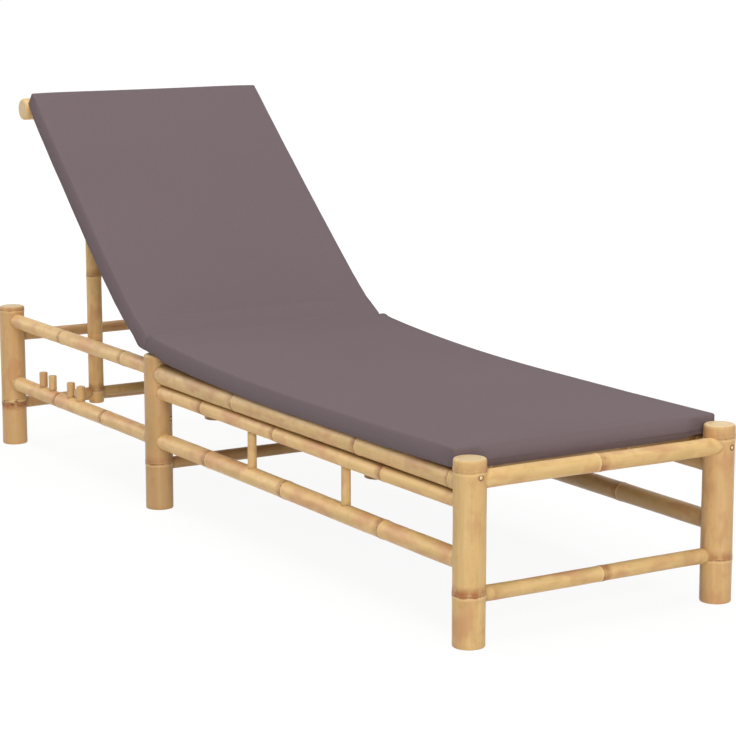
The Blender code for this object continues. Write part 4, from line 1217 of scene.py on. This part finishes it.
def screw_tree():
    """Geometry Nodes that set one screw in its drilled rim at every point, along its normal."""
    tree, given = new_tree("Countersunk screws", "Places", "Screws", {
        "Float": ("Head Radius", "Rim Radius", "Sink"), "Material": ("Steel", "Rim")})
    head = add(tree, "GeometryNodeMeshUVSphere", {},
               {"Segments": 16, "Rings": 8, "Radius": given["Head Radius"]}, 0)
    head = add(tree, MOVE, {}, {"Geometry": head, "Scale": (1.0, 1.0, HEAD_DOME)}, 0)
    slot = add(tree, "GeometryNodeMeshCube", {}, {"Size": SLOT_SIZE}, 0)
    cross = add(tree, MOVE, {}, {"Geometry": slot, "Rotation": (0.0, 0.0, math.pi / 2)}, 0)
    lift = add(tree, XYZ, {}, {2: add(tree, MATH, MULTIPLY, (given["Head Radius"], HEAD_DOME))})
    recess = add(tree, JOIN)
    tree.links.new(slot, recess.inputs[0])
    tree.links.new(cross, recess.inputs[0])
    recess = add(tree, MOVE, {}, {"Geometry": recess.outputs[0], "Translation": lift}, 0)
    head = add(tree, "GeometryNodeMeshBoolean", {"operation": "DIFFERENCE"},
               {"Mesh 1": head, "Mesh 2": recess}, 0)
    head = add(tree, "GeometryNodeSetMaterial", {}, {"Geometry": head, "Material": given["Steel"]}, 0)
    ring = add(tree, "GeometryNodeCurvePrimitiveCircle", {},
               {"Resolution": 20, "Radius": given["Rim Radius"]}, 0)
    tube = add(tree, "GeometryNodeCurvePrimitiveCircle", {}, {"Resolution": 8, "Radius": BEAD_RADIUS}, 0)
    rim = add(tree, "GeometryNodeCurveToMesh", {}, {"Curve": ring, "Profile Curve": tube}, 0)
    rim = add(tree, "GeometryNodeSetMaterial", {}, {"Geometry": rim, "Material": given["Rim"]}, 0)
    both = add(tree, JOIN)
    tree.links.new(head, both.inputs[0])
    tree.links.new(rim, both.inputs[0])
    down = add(tree, XYZ, {}, {2: add(tree, MATH, MULTIPLY, (given["Sink"], -1.0))})
    screw = add(tree, MOVE, {}, {"Geometry": both.outputs[0], "Translation": down}, 0)
    points = add(tree, "GeometryNodeMeshToPoints", {}, {"Mesh": given["Places"]}, 0)
    normal = add(tree, "GeometryNodeInputNamedAttribute", {"data_type": "FLOAT_VECTOR"},
                 {"Name": "outward"}, 0)
    turn = add(tree, "FunctionNodeAlignRotationToVector", {"axis": "Z"}, {"Vector": normal}, 0)
    screws = add(tree, "GeometryNodeInstanceOnPoints", {}, {"Points": points, "Instance": screw,
                                                            "Rotation": turn}, 0)
    screws = add(tree, "GeometryNodeRealizeInstances", {}, {0: screws}, 0)
    add(tree, "NodeGroupOutput", {}, {0: screws})
    return tree


class LOUNGER_OT_screws(bpy.types.Operator):
    """Countersunk screws through the legs into the rails"""

    bl_idname = "lounger.screws"
    bl_label = "Screws"

    def execute(self, context):
        # leg, turn from the foot side towards the right, height
        screws = [("foot_left", 7.0, 0.300), ("foot_right", 14.0, 0.290),
                  ("mid_left", 38.0, 0.194), ("mid_right", -38.0, 0.194)]
        screws += [(f"head_{side}", 180.0, z) for side, _ in SIDES for z in (0.2965, 0.1475)]
        places = []
        outward = []
        for leg, turn, z in screws:
            low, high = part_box(f"leg_{leg}")
            centre = 0.5 * (low + high)
            normal = Vector((math.sin(math.radians(turn)), -math.cos(math.radians(turn)), 0.0))
            places.append(Vector((centre.x, centre.y, z)) + normal * (0.5 * (high.x - low.x)))
            outward.append(normal)
        mesh = bpy.data.meshes.new("screw_places")
        mesh.from_pydata(places, [], [])
        attribute = mesh.attributes.new("outward", "FLOAT_VECTOR", "POINT")
        attribute.data.foreach_set("vector", [value for normal in outward for value in normal])
        values = {"Head Radius": 0.0034, "Rim Radius": 0.0048, "Sink": 0.0004,
                  "Steel": material_named("Yellow zinc screw steel", zinc_screw),
                  "Rim": material_named("Drilled bamboo edge", bored_rim)}
        result = run_tree("screws", mesh, screw_tree(), values)
        piece = bpy.data.objects.new("screws", result)
        context.scene.collection.objects.link(piece)
        result.shade_smooth()
        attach(piece, "base")
        return {"FINISHED"}


def seen_directly(tree):
    """1 for rays from the camera, and for those that reach it off metal or through glass."""
    path = add(tree, "ShaderNodeLightPath")
    seen = add(tree, MATH, MAXIMUM, (path.outputs["Is Camera Ray"], path.outputs["Is Glossy Ray"]))
    return add(tree, MATH, MAXIMUM, (seen, path.outputs["Is Transmission Ray"]))


def studio_floor():
    """Matt white studio paper: reads as white behind the object and keeps its soft shadow."""
    material, tree = new_material("Matt white studio paper")
    seen = seen_directly(tree)
    place = add(tree, "ShaderNodeTexCoord", out="Object")
    # Paper tooth about 2 mm across
    tooth = add(tree, NOISE, {}, {"Vector": place, "Scale": 500.0}, "Fac")
    grey = add(tree, MIX, RGBA, {0: tooth, 6: linear("DEDCDA"), 7: linear("E6E4E2")}, 2)
    paper = add(tree, "ShaderNodeBsdfDiffuse", {}, {"Color": grey}, 0)
    white = add(tree, "ShaderNodeBsdfDiffuse", {}, {"Color": WHITE}, 0)
    # From 1.3 m to 2.6 m out, past the object's shadow, the paper burns out to plain white
    away = add(tree, VECTOR, LENGTH, {0: place}, 1)
    strength = add(tree, RANGE, SMOOTH, {"Value": away, "From Min": 1.3, "From Max": 2.6, "To Min": 1.03,
                                         "To Max": 1.13}, "Result")
    glow = add(tree, "ShaderNodeEmission", {}, {"Color": WHITE, "Strength": strength}, 0)
    shown = add(tree, "ShaderNodeMixShader", {}, {0: 0.9, 1: white, 2: glow}, 0)
    mixed = add(tree, "ShaderNodeMixShader", {}, {0: seen, 1: paper, 2: shown}, 0)
    add(tree, "ShaderNodeOutputMaterial", {}, {"Surface": mixed})
    return material


# The paper reaches this far and lies this far below the feet, so that no two faces meet
FLOOR_REACH, FLOOR_DROP = 30.0, 0.0005
LAMP_AIM = Vector((0.0, 0.0, 0.3))


class LOUNGER_OT_stage(bpy.types.Operator):
    """Floor, lamps, even sky and camera"""

    bl_idname = "lounger.stage"
    bl_label = "Stage"

    def execute(self, context):
        look = context.scene.lounger.stage
        mesh = bpy.data.meshes.new("floor")
        corners = [(FLOOR_REACH * x, FLOOR_REACH * y, 0.0) for x, y in ((-1, -1), (1, -1), (1, 1), (-1, 1))]
        mesh.from_pydata(corners, [], [(0, 1, 2, 3)])
        mesh.materials.append(studio_floor())
        floor = bpy.data.objects.new("floor", mesh)
        context.scene.collection.objects.link(floor)
        floor.location.z = -FLOOR_DROP

        world = bpy.data.worlds.new("Even studio sky")
        context.scene.world = world
        world.use_nodes = True
        tree = world.node_tree
        tree.nodes.clear()
        seen = seen_directly(tree)
        sky = add(tree, "ShaderNodeBackground", {}, {"Color": WHITE, "Strength": look.sky}, 0)
        white = add(tree, "ShaderNodeBackground", {}, {"Color": WHITE, "Strength": 1.0}, 0)
        mixed = add(tree, "ShaderNodeMixShader", {}, {0: seen, 1: sky, 2: white}, 0)
        add(tree, "ShaderNodeOutputWorld", {}, {"Surface": mixed})

        # Square lamps aimed at the lounger: name, place, size and power
        for name, place, size, power in (("key", (-6.0, -8.4, 12.3), 5.0, look.key),
                                         ("overhead", (0.0, 0.0, 8.0), 7.0, look.top),
                                         ("front", (-3.5, -9.0, 3.0), 5.0, look.front),
                                         ("side", (8.0, -6.0, 4.0), 5.0, look.side),
                                         ("rear", (-5.0, 8.0, 4.0), 5.0, look.rear)):
            data = bpy.data.lights.new(name, "AREA")
            data.shape = "SQUARE"
            data.size = size
            data.energy = power
            lamp = bpy.data.objects.new(name, data)
            context.scene.collection.objects.link(lamp)
            lamp.location = place
            lamp.rotation_euler = (LAMP_AIM - Vector(place)).to_track_quat("-Z", "Y").to_euler()

        data = bpy.data.cameras.new("camera")
        data.lens = look.lens
        data.sensor_width = 36.0
        data.clip_end = 100.0
        camera = bpy.data.objects.new("camera", data)
        context.scene.collection.objects.link(camera)
        camera.location = look.eye
        camera.rotation_euler = (math.radians(90.0) + look.pitch, 0.0, -look.yaw)
        context.scene.camera = camera
        context.scene.view_settings.view_transform = "Standard"
        return {"FINISHED"}


class LOUNGER_PT_panel(bpy.types.Panel):
    """Lists the lounger's settings and operators"""

    bl_label = "Sun Lounger"
    bl_idname = "LOUNGER_PT_panel"
    bl_space_type = "VIEW_3D"
    bl_region_type = "UI"
    bl_category = "Lounger"

    def draw(self, context):
        settings = context.scene.lounger
        for group in (settings.bamboo, settings.cushion, settings.stage):
            box = self.layout.box()
            for name in group.__annotations__:
                box.prop(group, name)
        for operator in OPERATORS:
            self.layout.operator(operator.bl_idname)


OPERATORS = (LOUNGER_OT_stage, LOUNGER_OT_legs, LOUNGER_OT_side_rails, LOUNGER_OT_cross_rails,
             LOUNGER_OT_spindles, LOUNGER_OT_slats, LOUNGER_OT_back, LOUNGER_OT_prop, LOUNGER_OT_pins,
             LOUNGER_OT_screws, LOUNGER_OT_cushion)
CLASSES = (BambooSettings, CushionSettings, StageSettings, LoungerSettings, *OPERATORS, LOUNGER_PT_panel)


def register():
    """Register the classes and the scene's settings."""
    for item in CLASSES:
        bpy.utils.register_class(item)
    bpy.types.Scene.lounger = PointerProperty(type=LoungerSettings)


def unregister():
    """Take the settings and the classes out again."""
    del bpy.types.Scene.lounger
    for item in reversed(CLASSES):
        bpy.utils.unregister_class(item)


def main():
    """Build everything."""
    register()
    for operator in OPERATORS:
        group, name = operator.bl_idname.split(".")
        getattr(getattr(bpy.ops, group), name)()


if __name__ == "__main__":
    main()
